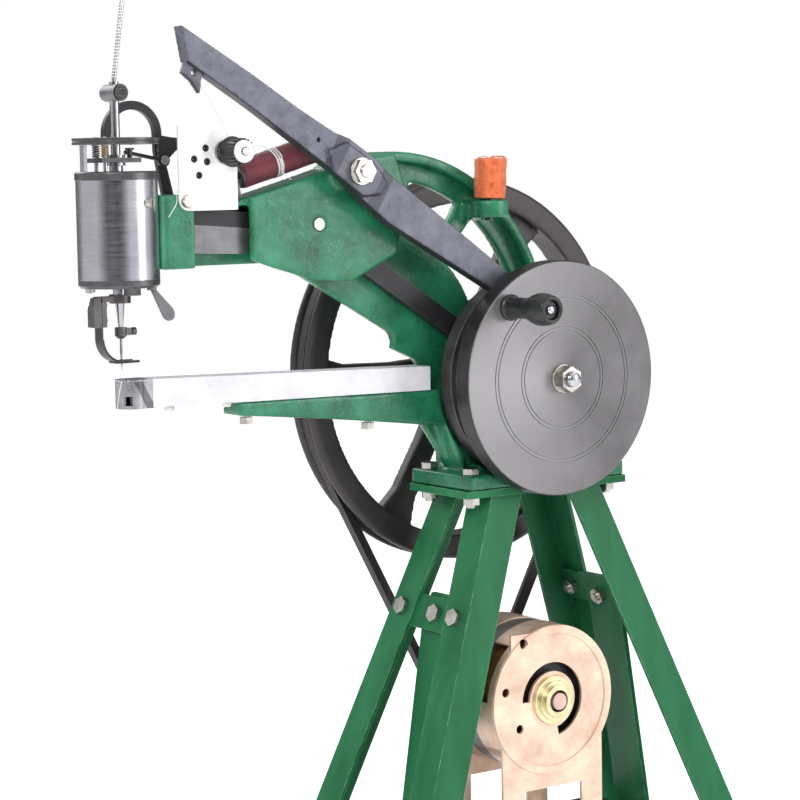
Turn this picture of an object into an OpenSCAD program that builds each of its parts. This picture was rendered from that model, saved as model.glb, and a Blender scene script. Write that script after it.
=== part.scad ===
// Arm-type leather sewing machine on a four-legged stand, with a hand crank and a belt motor.
// Origin: on the floor, at the centre of the four foot bolts. +X runs from the sewing head
// towards the crank, -Y is the crank side and +Z is up. Lengths are in millimetres.

/* [Stand] */
// Height of the main shaft above the floor
shaft_z = 620; // [600:5:650]
// Height of the stand's top plate surface
stand_h = 533; // [525:1:540]
// Half spread of the leg corners at the floor, along X
floor_x = 262; // [230:1:290]
// Half spread of the leg corners at the floor, along Y
floor_y = 120; // [105:1:135]
// Half spread of the leg corners under the top plate, along X
leg_top_x = 56; // [50:1:60]
// Half spread of the leg corners under the top plate, along Y
leg_top_y = 37; // [34:1:40]
// Width of the angle iron's flanges
angle_w = 30; // [25:1:35]
// Thickness of the angle iron
angle_t = 3; // [3:0.5:4]
// Height of the side crossbars
crossbar_z = 432; // [425:1:440]
// Height of the motor shelf's upper face
shelf_z = 237; // [234:1:245]

/* [Wheels] */
// Radius of the crank disc
disc_r = 95; // [90:1:98]
// Radius of the flywheel
wheel_r = 162; // [155:1:165]
// Radius of the cam drum
drum_r = 83; // [80:1:84]
// Radius of the circle on which the crank grip stands
grip_circle_r = 82; // [76:1:82]
// Radius of the motor pulley over its flanges
pulley_r = 35; // [32:1:38]

/* [Head] */
// Distance of the needle axis from the main shaft
reach = 368; // [360:1:375]
// Outer radius of the head barrel
barrel_r = 30; // [29:0.5:32]
// Height of the barrel's lower edge
barrel_z = 713; // [711:1:715]
// Height of the barrel's upper edge
barrel_top_z = 792; // [790:1:794]
// Needle stroke below its highest position
stroke = 26; // [22:1:26]
// Lift of the presser foot
foot_lift = 12; // [8:1:12]

/* [Arms] */
// Height of the work surface at the arm tip
arm_z = 639; // [637:1:640]
// Width of the lower arm
arm_w = 22; // [20:1:26]
// Radius of the casting's arch
arch_r = 156; // [154:1:158]

/* [Hidden] */

$fn = 64;
run_gap = 0.05;   // radial clearance of a running fit
seat_gap = 0.02;  // clearance between parts that are bolted or pressed together

green = "#1f7a4a";
iron = "#6c6e72";
dark_iron = "#4a4442";
steel = "#b9bcc2";
black = "#1b1b1d";
copper = "#d9a07a";

// Stand
top_t = 6;
leg_top_z = stand_h - top_t;
foot_t = 4;
splay_x = atan((floor_x - leg_top_x) / leg_top_z);
splay_y = atan((floor_y - leg_top_y) / leg_top_z * cos(splay_x));
foot_hole_in = 16;
foot_hole_x = floor_x - foot_hole_in;
foot_hole_y = floor_y - foot_hole_in;
foot_hole_r = 4.5;
bar_h = 28;
bar_t = 4;
bolt_r = 4;
shelf_t = 4;
shelf_x = 116;
shelf_y = 45;
hanger_w = 40;
hanger_y = -6;
base_x = 80;
base_y = 40;
base_t = 12;
base_bolt_x = 70;
base_bolt_y = 28;

// Casting and lower arm
arch_c = [-124, 648];
arm_x1 = -96;
arm_end_z = 633;
arm_bottom_z = 617.5;
arm_slope = 0.0142;

// Shaft line, along Y
shaft_r = 10;
stud_r = 6;
disc_y = -60;
disc_t = 18;
drum_y = -21;
drum_t = 14;
web_y = 7;
web_t = 8;
hub_y = 60;
hub_r = 34;
bush_r = 14;
wheel_y = 68;
wheel_t = 30;
belt_y = 83;
belt_r = 156;
shaft_end_y = 120;
grip_angle = 133;
grip_x = grip_circle_r * cos(grip_angle);
grip_z = shaft_z + grip_circle_r * sin(grip_angle);

// Sewing head
hx = -reach;
tube_r = 5;
bar_r = 3.5;
ring_h = 6.4;
turret_z = barrel_z - 6;
clamp_z = turret_z - 11.4;
spool_z = 762;
finger_r = 5;
lift_z = 798.4;
lift_t = 3.4;
plate_z = 811.5;
plate_t = 4.8;
plate_r = 31.8;
block_z = 849;
needle_tip_z = 645;
slot_w = 3.4;
pin_r = 1.5;
spring_ys = [-6, 8];
hoop_c = [hx + 21, plate_z + plate_t + 3];
hoop_r1 = 24.5;
hoop_r0 = 18;
strap_y = 12;
strap_t = 4;
wings = [[180, -31], [-18, 38]];   // angle round the head, and turn of the blade
wing_in = 24;
tip_c = hx + 7.5;
tip_r = 12;
tip_x1 = -348.4;

// Levers
take_pivot = [-178, 789];
take_y = -36;
take_t = 12;
take_roller = [-6, 684.5];
needle_roller = [-50, 652];
needle_arm = 168;
needle_rock = 2 * asin(stroke / 2 / needle_arm);
needle_pivot = [hx + needle_arm * cos(needle_rock / 2), spool_z - needle_arm * sin(needle_rock / 2)];
stub_x = hx + 14.5;
stub_y = 5.5;
stub_head_z = 807.5;
lifter_tip_r = 1.7;
lifter_pivot = [hx + 45, stub_head_z - 0.1 - lifter_tip_r - foot_lift / 2];
lifter_reach = lifter_pivot[0] - stub_x;
lifter_rock = 2 * atan(foot_lift / 2 / lifter_reach);

// Thread path: knob and wound spools (axis start, tilt about Y, length)
knob = [-286, 805];
tension_y = -15;
spool_a = [-264, 2, 787];
spool_tilt = 16;
spool_len = 74;
bobbin_at = [-41, -20, 764];
bobbin_tilt = 3;

// Motor
motor_z = 354;
motor_r = 62;
motor_front_y = -42;
motor_rear_y = 34;
pulley_belt_r = 31;
boss_r = 20;

// ---------- helpers ----------

// Cylinder along Y from y0 to y1 at (x, z)
module rod_y(x, z, y0, y1, r) {
    translate([x, y0, z]) rotate([-90, 0, 0]) cylinder(r = r, h = y1 - y0);
}

// Shape drawn in the XZ plane, made solid from y0 to y1
module slab(y0, y1) {
    translate([0, y1, 0]) rotate([90, 0, 0]) linear_extrude(y1 - y0) children();
}

// Profile drawn as (radius, distance along the axis), turned about the Y axis at height z
module turned_y(z) {
    translate([0, 0, z]) rotate([-90, 0, 0]) rotate_extrude($fn = 96) children();
}

// Profile drawn as (radius, height), turned about the needle axis
module turned_head() {
    translate([hx, 0, 0]) rotate_extrude() children();
}

// Hexagonal prism standing on the XY plane
module hex(af, h) {
    cylinder(r = af / sqrt(3), h = h, $fn = 6);
}

// Bolt with a hexagonal head above z = 0, and a nut below the grip length
module hex_bolt(r, grip, af) {
    hex(af, r * 1.3);
    translate([0, 0, -grip - r * 2.2]) cylinder(r = r - 0.1, h = grip + r * 2.2);
    translate([0, 0, -grip - r * 1.6]) hex(af, r * 1.6);
}

// Slotted screw with a domed head above z = 0 and a shank of length len below
module slot_screw(r, head_r, head_h, len) {
    difference() {
        cylinder(r1 = head_r, r2 = head_r * 0.8, h = head_h);
        translate([-head_r, -head_r * 0.14, head_h * 0.55]) cube([2 * head_r, head_r * 0.28, head_h]);
    }
    translate([0, 0, -len]) cylinder(r = r, h = len);
}

// Straight bar with round ends and parallel sides, exact
module link(a, b, r) {
    d = b - a;
    len = norm(d);
    translate(a) rotate(atan2(d[1], d[0])) {
        translate([0, -r]) square([len, 2 * r]);
        circle(r);
        translate([len, 0]) circle(r);
    }
}

// ---------- stand ----------

// Places children on one leg: sx and sy are the signs of its corner
module at_leg(sx, sy) {
    translate([sx * leg_top_x, sy * leg_top_y, leg_top_z])
        scale_sign(sx, sy) rotate([splay_y, -splay_x, 0]) children();
}

module scale_sign(sx, sy) {
    mirror([sx < 0 ? 1 : 0, 0, 0]) mirror([0, sy < 0 ? 1 : 0, 0]) children();
}

// Places children on the outside of a side flange plane at height z and depth y, +Z outwards
module at_side(sx, y, z) {
    mirror([sx < 0 ? 1 : 0, 0, 0])
        translate([leg_top_x + (leg_top_z - z) * tan(splay_x), y, z])
            rotate([0, 90 - splay_x, 0]) children();
}

// Depth of a leg's corner line at height z
function leg_y(z) = leg_top_y + (leg_top_z - z) * (floor_y - leg_top_y) / leg_top_z;

function side_bolt_y(z) = leg_y(z) - 16;

module side_bolt_places(sx) {
    for (sy = [-1, 1]) at_side(sx, sy * side_bolt_y(crossbar_z), crossbar_z) children();
}

module leg(sx, sy) {
    color(green) difference() {
        union() {
            intersection() {
                at_leg(sx, sy) translate([-angle_w, -angle_w, -700]) difference() {
                    cube([angle_w, angle_w, 800]);
                    translate([-1, -1, -1]) cube([angle_w - angle_t + 1, angle_w - angle_t + 1, 802]);
                }
                translate([-400, -400, foot_t / 2]) cube([800, 800, leg_top_z - foot_t / 2]);
            }
            foot(sx, sy);
        }
        translate([sx * foot_hole_x, sy * foot_hole_y, -1]) cylinder(r = foot_hole_r, h = foot_t + 2);
        side_bolt_places(sx) translate([0, 0, -10]) cylinder(r = bolt_r, h = 20);
    }
}

module foot(sx, sy) {
    size = angle_w + 4;
    translate([sx * (floor_x + 2 - size / 2), sy * (floor_y + 2 - size / 2), foot_t / 2])
        cube([size, size, foot_t], center = true);
}

module leg_front_left() { leg(-1, -1); }
module leg_rear_left() { leg(-1, 1); }
module leg_front_right() { leg(1, -1); }
module leg_rear_right() { leg(1, 1); }

module stand_top() {
    color(green) difference() {
        translate([-base_x - 2, -base_y, leg_top_z]) cube([2 * base_x + 4, 2 * base_y, top_t - seat_gap]);
        base_bolt_places() cylinder(r = bolt_r, h = 60, center = true);
    }
}

module base_bolt_places() {
    for (x = [-base_bolt_x, base_bolt_x], y = [-base_bolt_y, base_bolt_y])
        translate([x, y, stand_h + base_t]) children();
}

module crossbar(sx) {
    len = 2 * (leg_y(crossbar_z) - angle_t - 4);
    color(green) difference() {
        at_side(sx, 0, crossbar_z) translate([-bar_h / 2, -len / 2, -angle_t - seat_gap - bar_t])
            cube([bar_h, len, bar_t]);
        side_bolt_places(sx) translate([0, 0, -10]) cylinder(r = bolt_r, h = 20);
        at_side(sx, hanger_y, crossbar_z) translate([0, 0, -20]) cylinder(r = bolt_r, h = 40);
    }
}

module crossbar_left() { crossbar(-1); }
module crossbar_right() { crossbar(1); }

// X of a side flange's outer plane at height z
function side_x(z) = leg_top_x + (leg_top_z - z) * tan(splay_x);

// Strap from the crossbar down to the shelf: a top tab along the bar, a leaning run and a foot
module hanger(sx) {
    outer = (angle_t + bar_t + 2 * seat_gap) / cos(splay_x);
    inner = outer + bar_t / cos(splay_x);
    tab = bar_h / 2 * cos(splay_x);
    z1 = crossbar_z + tab;
    z0 = crossbar_z - tab;
    seat = shelf_z - shelf_t - seat_gap;
    color(green) difference() {
        mirror([sx < 0 ? 1 : 0, 0, 0]) slab(hanger_y - hanger_w / 2, hanger_y + hanger_w / 2) polygon([
            [side_x(z1) - inner, z1], [side_x(z1) - outer, z1], [side_x(z0) - outer, z0],
            [shelf_x + bar_t, seat + 1], [shelf_x + bar_t, seat - bar_t], [shelf_x - 24, seat - bar_t],
            [shelf_x - 24, seat], [shelf_x, seat], [side_x(z0) - inner, z0],
        ]);
        at_side(sx, hanger_y, crossbar_z) translate([0, 0, -20]) cylinder(r = bolt_r, h = 40);
        shelf_bolt_places() cylinder(r = bolt_r, h = 60, center = true);
    }
}

module shelf_hangers() {
    for (sx = [-1, 1]) hanger(sx);
}

module shelf_bolt_places() {
    for (sx = [-1, 1]) translate([sx * (shelf_x - 12), hanger_y, shelf_z]) children();
}

module motor_shelf() {
    lip = 14;
    color(black) difference() {
        union() {
            translate([-shelf_x + 1, -shelf_y, shelf_z - shelf_t])
                cube([2 * shelf_x - 2, 2 * shelf_y, shelf_t]);
            for (sy = [-1, 1]) translate([-shelf_x + 1, sy > 0 ? shelf_y - 3 : -shelf_y, shelf_z - lip])
                cube([2 * shelf_x - 2, 3, lip]);
        }
        shelf_bolt_places() cylinder(r = bolt_r, h = 60, center = true);
        motor_foot_places() cylinder(r = bolt_r, h = 60, center = true);
    }
}

module motor_foot_places() {
    for (sx = [-1, 1], y = [motor_front_y + 14, motor_rear_y - 14])
        translate([sx * 46, y, shelf_z]) children();
}

module stand_bolts() {
    color(steel) {
        for (sx = [-1, 1]) {
            side_bolt_places(sx) translate([0, 0, seat_gap])
                hex_bolt(bolt_r, angle_t + bar_t + 3 * seat_gap, 13);
            at_side(sx, hanger_y, crossbar_z) translate([0, 0, -angle_t])
                hex_bolt(bolt_r, 2 * bar_t + 3 * seat_gap, 13);
        }
        base_bolt_places() translate([0, 0, seat_gap]) hex_bolt(bolt_r, base_t + top_t + 2 * seat_gap, 13);
        shelf_bolt_places() translate([0, 0, seat_gap]) hex_bolt(bolt_r, shelf_t + bar_t + 3 * seat_gap, 13);
        motor_foot_places() translate([0, 0, 3 + 2 * seat_gap])
            hex_bolt(bolt_r, 3 + shelf_t + 3 * seat_gap, 13);
    }
}

// ---------- casting ----------

// Outline of the whole web: arch, upper arm, throat, lower tongue and neck
module web_outline() {
    intersection() {
        translate(arch_c) circle(arch_r, $fn = 128);
        polygon([[-200, 740], [-200, 900], [100, 900], [100, 600], [-60, 600]]);
    }
    polygon([
        [-310, 720], [-310, 763], [-292, 763], [-262, 771], [-214, 784], [-186, 792], [-150, 802],
        [-80, 760], [0, 690], [0, 560], [-60, 560], [-60, stand_h + 6], [-90, 584],
        [-205, 599], [-274, 606], [-274, 612], [-94, 611], [-94, 636], [-150, 662], [-205, 702], [-246, 720],
    ]);
    translate([0, shaft_z]) circle(60);
    translate([-60, stand_h + 2]) square([120, 60]);
}

// The throat under the upper arm, as a rounded opening
module throat() {
    hull() {
        translate([-300, 694]) circle(26, $fn = 32);
        translate([-232, 690]) circle(30, $fn = 32);
        translate([-130, 652]) circle(12, $fn = 32);
        translate([-300, 656]) circle(14, $fn = 32);
    }
}

// Piece of a ring between two radii and two angles
module sector(r0, r1, a0, a1) {
    intersection() {
        difference() {
            circle(r1, $fn = 128);
            circle(r0, $fn = 128);
        }
        step = (a1 - a0) / 6;
        polygon([[0, 0], for (i = [0 : 6]) 2 * r1 * [cos(a0 + step * i), sin(a0 + step * i)]]);
    }
}

module arch_windows() {
    translate(arch_c) {
        sector(92, 134, 58, 80);
        sector(88, 134, 22, 50);
    }
}

module head_block() {
    difference() {
        translate([hx + 16, -15, 719]) cube([41, 30, 55]);
        translate([hx, 0, 700]) cylinder(r = barrel_r + run_gap, h = 100);
        translate([hx, -6.5, 700]) cube([80, 13, 70]);
        translate([hx + 16 + 13, -16, 715]) cube([3.5, 2, 70]);
    }
}

module main_casting() {
    rim_w = 8;
    color(green) difference() {
        union() {
            slab(web_y, web_y + web_t) difference() {
                web_outline();
                throat();
                arch_windows();
            }
            // Arch flange, standing proud of the web on both faces
            slab(-4, web_y + web_t + 8) translate(arch_c) sector(arch_r - rim_w, arch_r, 12, 112);
            // Upper arm: front wall and top wall over the needle lever
            slab(-14, -9) polygon([
                [-262, 724], [-262, 771], [-214, 784], [-186, 792], [-166, 798], [-128, 802], [-116, 768],
                [-128, 724], [-170, 704], [-205, 706], [-246, 718],
            ]);
            slab(-9.01, web_y + 0.01) polygon([
                [-274, 768], [-262, 771], [-214, 784], [-186, 792], [-166, 798], [-128, 803],
                [-128, 797], [-166, 792], [-186, 786], [-214, 778], [-262, 765.5], [-274, 762.5],
            ]);
            head_block();
            // Side cheeks that tie the head block to the arm's walls
            slab(9, 15) polygon([[-313, 720], [-313, 763], [-280, 763], [-280, 720]]);
            // Boss of the take-up lever
            rod_y(take_pivot[0], take_pivot[1], take_y + take_t + 0.3, web_y + 1, 12);
            // Shaft hub
            rod_y(0, shaft_z, web_y - 4, hub_y, hub_r);
            // Spool boss on the arch and its rib
            translate([-41, -20, 750]) cylinder(r = 15, h = 14);
            translate([-49, -20, 748]) cube([16, 30, 14]);
            // Neck and base
            translate([-50, -14, stand_h + base_t - 1]) cube([100, 62, 40]);
            translate([-base_x, -base_y, stand_h]) cube([2 * base_x, 2 * base_y, base_t]);
            // Lower tongue under the arm
            slab(-10, 10) polygon([
                [-274, 606], [-274, arm_bottom(-274) - seat_gap], [-62, arm_bottom(-62) - seat_gap],
                [-62, stand_h + 8], [-80, 584], [-205, 599],
            ]);
        }
        rod_y(0, shaft_z, -60, 80, bush_r + seat_gap);
        rod_y(0, shaft_z, -30, web_y - 4, drum_r + 3);
        rod_y(needle_pivot[0], needle_pivot[1], -20, 30, 5 + seat_gap);
        rod_y(take_pivot[0], take_pivot[1], -30, 30, 4);
        translate([-41, -20, 740]) cylinder(r = 3, h = 40);
        base_bolt_places() cylinder(r = bolt_r, h = 60, center = true);
        arm_bolt_places() cylinder(r = 3, h = 60, center = true);
        tension_holes() cylinder(r = 2, h = 30, center = true);
    }
}

module tension_holes() {
    translate([-319, -15, 769]) rotate([90, 0, 0]) children();
}

// ---------- lower arm ----------

// Height of the arm's underside at x
function arm_bottom(x) = arm_bottom_z - (x - tip_x1) * arm_slope;

module lower_arm() {
    wall = 3.5;
    color("#d8dadc") difference() {
        slab(-arm_w / 2, arm_w / 2) polygon([
            [tip_x1 + seat_gap, arm_bottom_z], [tip_x1 + seat_gap, arm_z],
            [arm_x1, arm_end_z], [arm_x1, arm_bottom(arm_x1)],
        ]);
        slab(-arm_w / 2 + wall, arm_w / 2 - wall) polygon([
            [tip_x1 - 1, arm_bottom_z + 2.5], [tip_x1 - 1, arm_z - 4],
            [arm_x1 + 1, arm_end_z - 4], [arm_x1 + 1, arm_bottom(arm_x1) + 2.5],
        ]);
        arm_bolt_places() cylinder(r = 3, h = 60, center = true);
        arm_screw_places() cylinder(r = 1.6, h = 20, center = true);
    }
}

module arm_screw_places() {
    for (x = [-334, -284]) translate([x, -8.8, arm_bottom(x)]) rotate([180, 0, 0]) children();
}

module arm_bolt_places() {
    for (x = [-262, -150]) translate([x, 0, arm_bottom(x)]) rotate([180, 0, 0]) children();
}

module arm_tip() {
    color("#8b8d92") difference() {
        union() {
            translate([tip_c, 0, arm_bottom_z]) cylinder(r = tip_r, h = arm_z - 1.2 - arm_bottom_z);
            translate([tip_c, -arm_w / 2, arm_bottom_z])
                cube([tip_x1 - tip_c, arm_w, arm_z - 1.2 - arm_bottom_z]);
        }
        translate([tip_c, 0, 620]) cylinder(r = 9, h = 30);
        translate([tip_c, -5.5, 620]) cube([40, 11, 13.5]);
        translate([hx, 0, 600]) cylinder(r = 1.8, h = 60);
        translate([tip_c - 14, -14, 620]) cube([9, 9, 7]);
    }
}

module needle_plate() {
    color(steel) difference() {
        union() {
            translate([tip_c, 0, arm_z - 1.2 + seat_gap]) cylinder(r = tip_r, h = 1.2);
            translate([tip_c, -arm_w / 2, arm_z - 1.2 + seat_gap]) cube([tip_x1 - tip_c, arm_w, 1.2]);
        }
        translate([hx, 0, 630]) cylinder(r = 1.5, h = 20);
    }
}

// Boat shuttle with its bobbin, on a small pinion that meshes with the rack
module shuttle() {
    color(steel) difference() {
        union() {
            translate([tip_c, 0, 626.5]) cylinder(r = 5.8, h = 9.5);
            translate([tip_c, 0, 620.3]) cylinder(r = 3, h = 6.3);
        }
        translate([tip_c, 0, 628]) cylinder(r = 4.4, h = 10);
        translate([tip_c - 8, -0.8, 632]) cube([5, 1.6, 6]);
    }
    color("#e8e4da") translate([tip_c, 0, 628.05]) {
        cylinder(r = 4.2, h = 0.8);
        cylinder(r = 2.6, h = 7);
        translate([0, 0, 6.2]) cylinder(r = 4.2, h = 0.8);
    }
}

module rack_bar() {
    color(iron) {
        translate([tip_c + 1.2, 3.2, 620.6]) cube([-110 - tip_c, 2, 5]);
    }
}

// ---------- shaft line ----------

module main_shaft() {
    color(steel) {
        rod_y(0, shaft_z, disc_y, shaft_end_y - 18, shaft_r);
        rod_y(0, shaft_z, disc_y - 16, shaft_end_y, stud_r);
    }
}

module shaft_bushes() {
    color("#b08d57") difference() {
        union() {
            rod_y(0, shaft_z, web_y - 4, web_y + 18, bush_r);
            rod_y(0, shaft_z, hub_y - 22, hub_y, bush_r);
            rod_y(0, shaft_z, web_y - 6, web_y - 4 - seat_gap, 20);
            rod_y(0, shaft_z, hub_y + seat_gap, hub_y + 2, 20);
        }
        rod_y(0, shaft_z, -60, 90, shaft_r + run_gap);
    }
}

// Concentric fine groove in the disc's face
module face_groove(r) {
    translate([r - 0.5, -1]) square([1, 1.8]);
}

module crank_disc() {
    a = grip_angle;
    color(iron) difference() {
        turned_y(shaft_z) difference() {
            translate([shaft_r + seat_gap, disc_y]) union() {
                square([disc_r - 2 - shaft_r, disc_t]);
                translate([0, 2]) square([disc_r - shaft_r - seat_gap, disc_t - 4]);
                translate([disc_r - shaft_r - seat_gap - 2, 2]) circle(2, $fn = 24);
                square([18, disc_t + 2]);
            }
            translate([32, disc_y + 10]) square([46, 20]);
            for (r = [39, 42, 65, 68]) translate([0, disc_y]) face_groove(r);
        }
        rod_y(grip_circle_r * cos(a), shaft_z + grip_circle_r * sin(a), disc_y - 5, 0, 5 + seat_gap);
    }
}

module grip_spindle() {
    color(steel) {
        rod_y(grip_x, grip_z, disc_y - 52, disc_y + disc_t + 4, 5);
        rod_y(grip_x, grip_z, disc_y - 3.5, disc_y - seat_gap, 8);
        rod_y(grip_x, grip_z, disc_y - 54.5, disc_y - 52, 7);
        translate([grip_x, disc_y + disc_t + seat_gap, grip_z]) rotate([-90, 0, 0]) hex(13, 3.5);
    }
}

module crank_grip() {
    y = disc_y - 4;
    color(black) translate([grip_x, y, grip_z]) rotate([90, 0, 0]) rotate_extrude() difference() {
        union() {
            translate([5 + run_gap, 0]) square([5.5, 4]);
            hull() {
                translate([5 + run_gap, 2]) square([3.5, 1]);
                translate([5 + run_gap, 24]) square([3.5, 1]);
                translate([8, 12]) circle(1, $fn = 24);
            }
            hull() {
                translate([5 + run_gap, 20]) square([3, 1]);
                translate([8.5, 38]) circle(4.5, $fn = 32);
                translate([8, 50]) circle(4, $fn = 32);
                translate([5 + run_gap, 53]) square([1, 1]);
            }
        }
        translate([-1, 47.5]) square([8.5, 20]);
        translate([-10, -1]) square([15 + run_gap, 80]);
    }
}

module shaft_nuts() {
    color(steel) difference() {
        union() {
            rod_y(0, shaft_z, disc_y - 2, disc_y - seat_gap, 11.5);
            translate([0, disc_y - 12, shaft_z]) rotate([-90, 30, 0]) hex(19, 10 - seat_gap);
            rod_y(0, shaft_z, 102 + seat_gap, 104, 14);
            translate([0, 104, shaft_z]) rotate([-90, 0, 0]) hex(19, 10);
        }
        rod_y(0, shaft_z, -90, 130, stud_r + seat_gap);
    }
}

// Drum with a closed cam groove in each face
module cam_drum() {
    color(dark_iron) difference() {
        union() {
            rod_y(0, shaft_z, drum_y, drum_y + drum_t, drum_r);
            rod_y(0, shaft_z, disc_y + disc_t + 2.5, web_y - 6.2, 22);
        }
        rod_y(0, shaft_z, -60, 20, shaft_r + seat_gap);
        translate([0, 0, 9]) cam_groove(drum_y - 1, drum_y + 5, 61);
        translate([0, 0, 7]) cam_groove(drum_y + drum_t - 5, drum_y + drum_t + 1, 58);
    }
}

module cam_groove(y0, y1, r) {
    difference() {
        rod_y(0, shaft_z, y0, y1, r + 7.5);
        rod_y(0, shaft_z, y0 - 1, y1 + 1, r - 7.5);
    }
}

// Spoked wheel with a vee groove for the belt
module flywheel() {
    spokes = 6;
    color(dark_iron) difference() {
        union() {
            turned_y(shaft_z) polygon([
                [wheel_r - 21, wheel_y], [wheel_r - 3, wheel_y], [wheel_r, wheel_y + 3],
                [wheel_r, belt_y - 8], [wheel_r - 14, belt_y - 3], [wheel_r - 14, belt_y + 3],
                [wheel_r, belt_y + 8], [wheel_r, wheel_y + wheel_t - 3], [wheel_r - 3, wheel_y + wheel_t],
                [wheel_r - 21, wheel_y + wheel_t],
            ]);
            turned_y(shaft_z) translate([shaft_r + seat_gap, hub_y + 3]) square([20, 39 - seat_gap]);
            for (i = [0 : spokes - 1]) slab(wheel_y + 9, wheel_y + 21)
                translate([0, shaft_z]) rotate(i * 360 / spokes) spoke();
        }
        rod_y(0, shaft_z, 0, 130, shaft_r + seat_gap);
    }
}

module spoke() {
    rim = wheel_r - 20;
    polygon([[24, -12], [70, -9.5], [118, -10.5], [rim, -18], [rim, 18], [118, 10.5], [70, 9.5], [24, 12]]);
}

// ---------- levers ----------

module take_up_lever() {
    color("#73777f") difference() {
        union() {
            slab(take_y, take_y + take_t) polygon([
                [-331, 897], [-270, 861], [-230, 836], [-200, 819], [-186, 814], [-160, 797],
                [-150, 787], [-120, 766], [-70, 731], [-24, 698], take_roller + [8, 12], take_roller + [10, -8],
                take_roller + [-4, -11], [-50, 692], [-112, 727], [-150, 748], [-172, 765], [-196, 787],
                [-212, 797], [-272, 837], [-326, 870.5],
            ]);
            // Raised pad round the pivot
            slab(take_y - 3, take_y + 1) polygon([
                [-207, 805], [-190, 811], [-163, 793], [-153, 779], [-160, 771], [-176, 770], [-203, 789],
            ]);
            // Hooked thread eye under the tip
            slab(take_y + 3, take_y + 9) difference() {
                polygon([
                    [-326, 878], [-308, 866], [-313, 859], [-314.5, 847], [-321, 856], [-329, 862.5],
                    [-326, 871],
                ]);
                translate([-319.5, 862.5]) circle(2);
            }
        }
        rod_y(take_pivot[0], take_pivot[1], -50, 0, 5 + run_gap);
        rod_y(take_roller[0], take_roller[1], -50, 0, 4);
        rod_y(-214, 813, -50, take_y + 4, 1.6);
        rod_y(-228, 822, -50, 0, 1.2);
    }
}

module take_up_roller() {
    x = take_roller[0];
    z = take_roller[1];
    color(steel) {
        rod_y(x, z, take_y, drum_y - 2.4, 4 - seat_gap);
        rod_y(x, z, take_y + take_t + 0.1, drum_y - 0.8, 7);
    }
}

module lever_pins() {
    color(steel) {
        // Take-up lever pivot: stud, sleeve, washer and nut
        rod_y(take_pivot[0], take_pivot[1], take_y - 12, take_y + take_t + 0.2, 5);
        rod_y(take_pivot[0], take_pivot[1], take_y + take_t + 0.2, 14, 4 - seat_gap);
        difference() {
            union() {
                rod_y(take_pivot[0], take_pivot[1], take_y - 5, take_y - 3.1, 10.5);
                translate([take_pivot[0], take_y - 10, take_pivot[1]]) rotate([-90, 0, 0]) hex(17, 5);
            }
            rod_y(take_pivot[0], take_pivot[1], -60, -20, 4.9);
        }
        // Needle lever pin
        rod_y(needle_pivot[0], needle_pivot[1], -14, 15, 5);
        translate([needle_pivot[0], 15 + seat_gap, needle_pivot[1]]) rotate([-90, 0, 0]) hex(15, 6);
        // Presser lifter pin
        rod_y(lifter_pivot[0], lifter_pivot[1], 7, 17, 2);
        rod_y(lifter_pivot[0], lifter_pivot[1], 6.4, 8, 3.6);
    }
}

// Lever in the XZ plane with its fork round the drive spool on the needle bar
module needle_lever() {
    tip = [hx, spool_z];
    color("#2c2d30") difference() {
        union() {
            slab(-4.5, 4.5) {
                // Deep plate in the open part of the arm
                polygon([[-307, 730], [-309, 756.5], [-262, 757], [-236, 753], [-236, 743], [-262, 728]]);
                link([-344, spool_z - 24 * tan(needle_rock / 2)], needle_pivot, 6);
                link(needle_pivot, needle_roller, 8);
                translate(needle_pivot) circle(13);
            }
            slab(-11.3, 11.3) translate([-351.5, spool_z - 6.4]) square([3.4, 10]);
            for (sy = [-1, 1]) mirror([0, sy < 0 ? 1 : 0, 0]) {
                translate([hx, 7.4, spool_z]) rotate([-90, 0, 0]) cylinder(r = finger_r, h = 3.9);
                translate([hx, 7.4, spool_z - 4.9]) cube([18, 3.9, 8]);
            }
        }
        rod_y(needle_pivot[0], needle_pivot[1], -20, 20, 5 + run_gap);
        rod_y(needle_roller[0], needle_roller[1], -20, 20, 4);
    }
}

module needle_lever_roller() {
    x = needle_roller[0];
    z = needle_roller[1];
    color(steel) {
        rod_y(x, z, -5.9, 5.2, 4 - seat_gap);
        rod_y(x, z, -6.2, -4.6, 6.5);
    }
}

// ---------- sewing head ----------

module head_barrel() {
    color(steel) difference() {
        translate([hx, 0, barrel_z]) cylinder(r = barrel_r, h = barrel_top_z - ring_h - barrel_z, $fn = 128);
        translate([hx, 0, 690]) cylinder(r = barrel_r - 3, h = 120, $fn = 128);
        translate([hx, -6.5, 722]) cube([40, 13, 56]);
        barrel_screw_places() cylinder(r = 1.9, h = 10, center = true);
    }
}

module barrel_screw_places() {
    translate([hx, 0, 769]) rotate([0, 0, -69]) translate([barrel_r, 0, 0]) rotate([0, 90, 0]) children();
}

module barrel_top_ring() {
    color("#5b5c60") turned_head() polygon([
        [24.6, barrel_top_z - ring_h + seat_gap], [barrel_r + 0.6, barrel_top_z - ring_h + seat_gap],
        [barrel_r + 0.6, barrel_top_z - 1], [barrel_r - 0.4, barrel_top_z], [24.6, barrel_top_z],
    ]);
}

module top_plate() {
    color("#8f9297") difference() {
        turned_head() difference() {
            translate([bar_r + 0.1, plate_z]) square([plate_r - bar_r - 0.1, plate_t]);
            translate([plate_r, plate_z + plate_t / 2]) circle(0.7, $fn = 16);
        }
        for (y = spring_ys) translate([hx - 12, y, plate_z - 1]) cylinder(r = 1.6, h = 10);
        translate([hx - 28.2, -3.2, plate_z - 1]) cube([3.4, 6.4, 10]);
        translate([hoop_c[0] - hoop_r1 - 0.2, strap_y - 0.2, plate_z - 1])
            cube([hoop_r1 - hoop_r0 + 0.4, strap_t + 0.4, 10]);
    }
}

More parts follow.
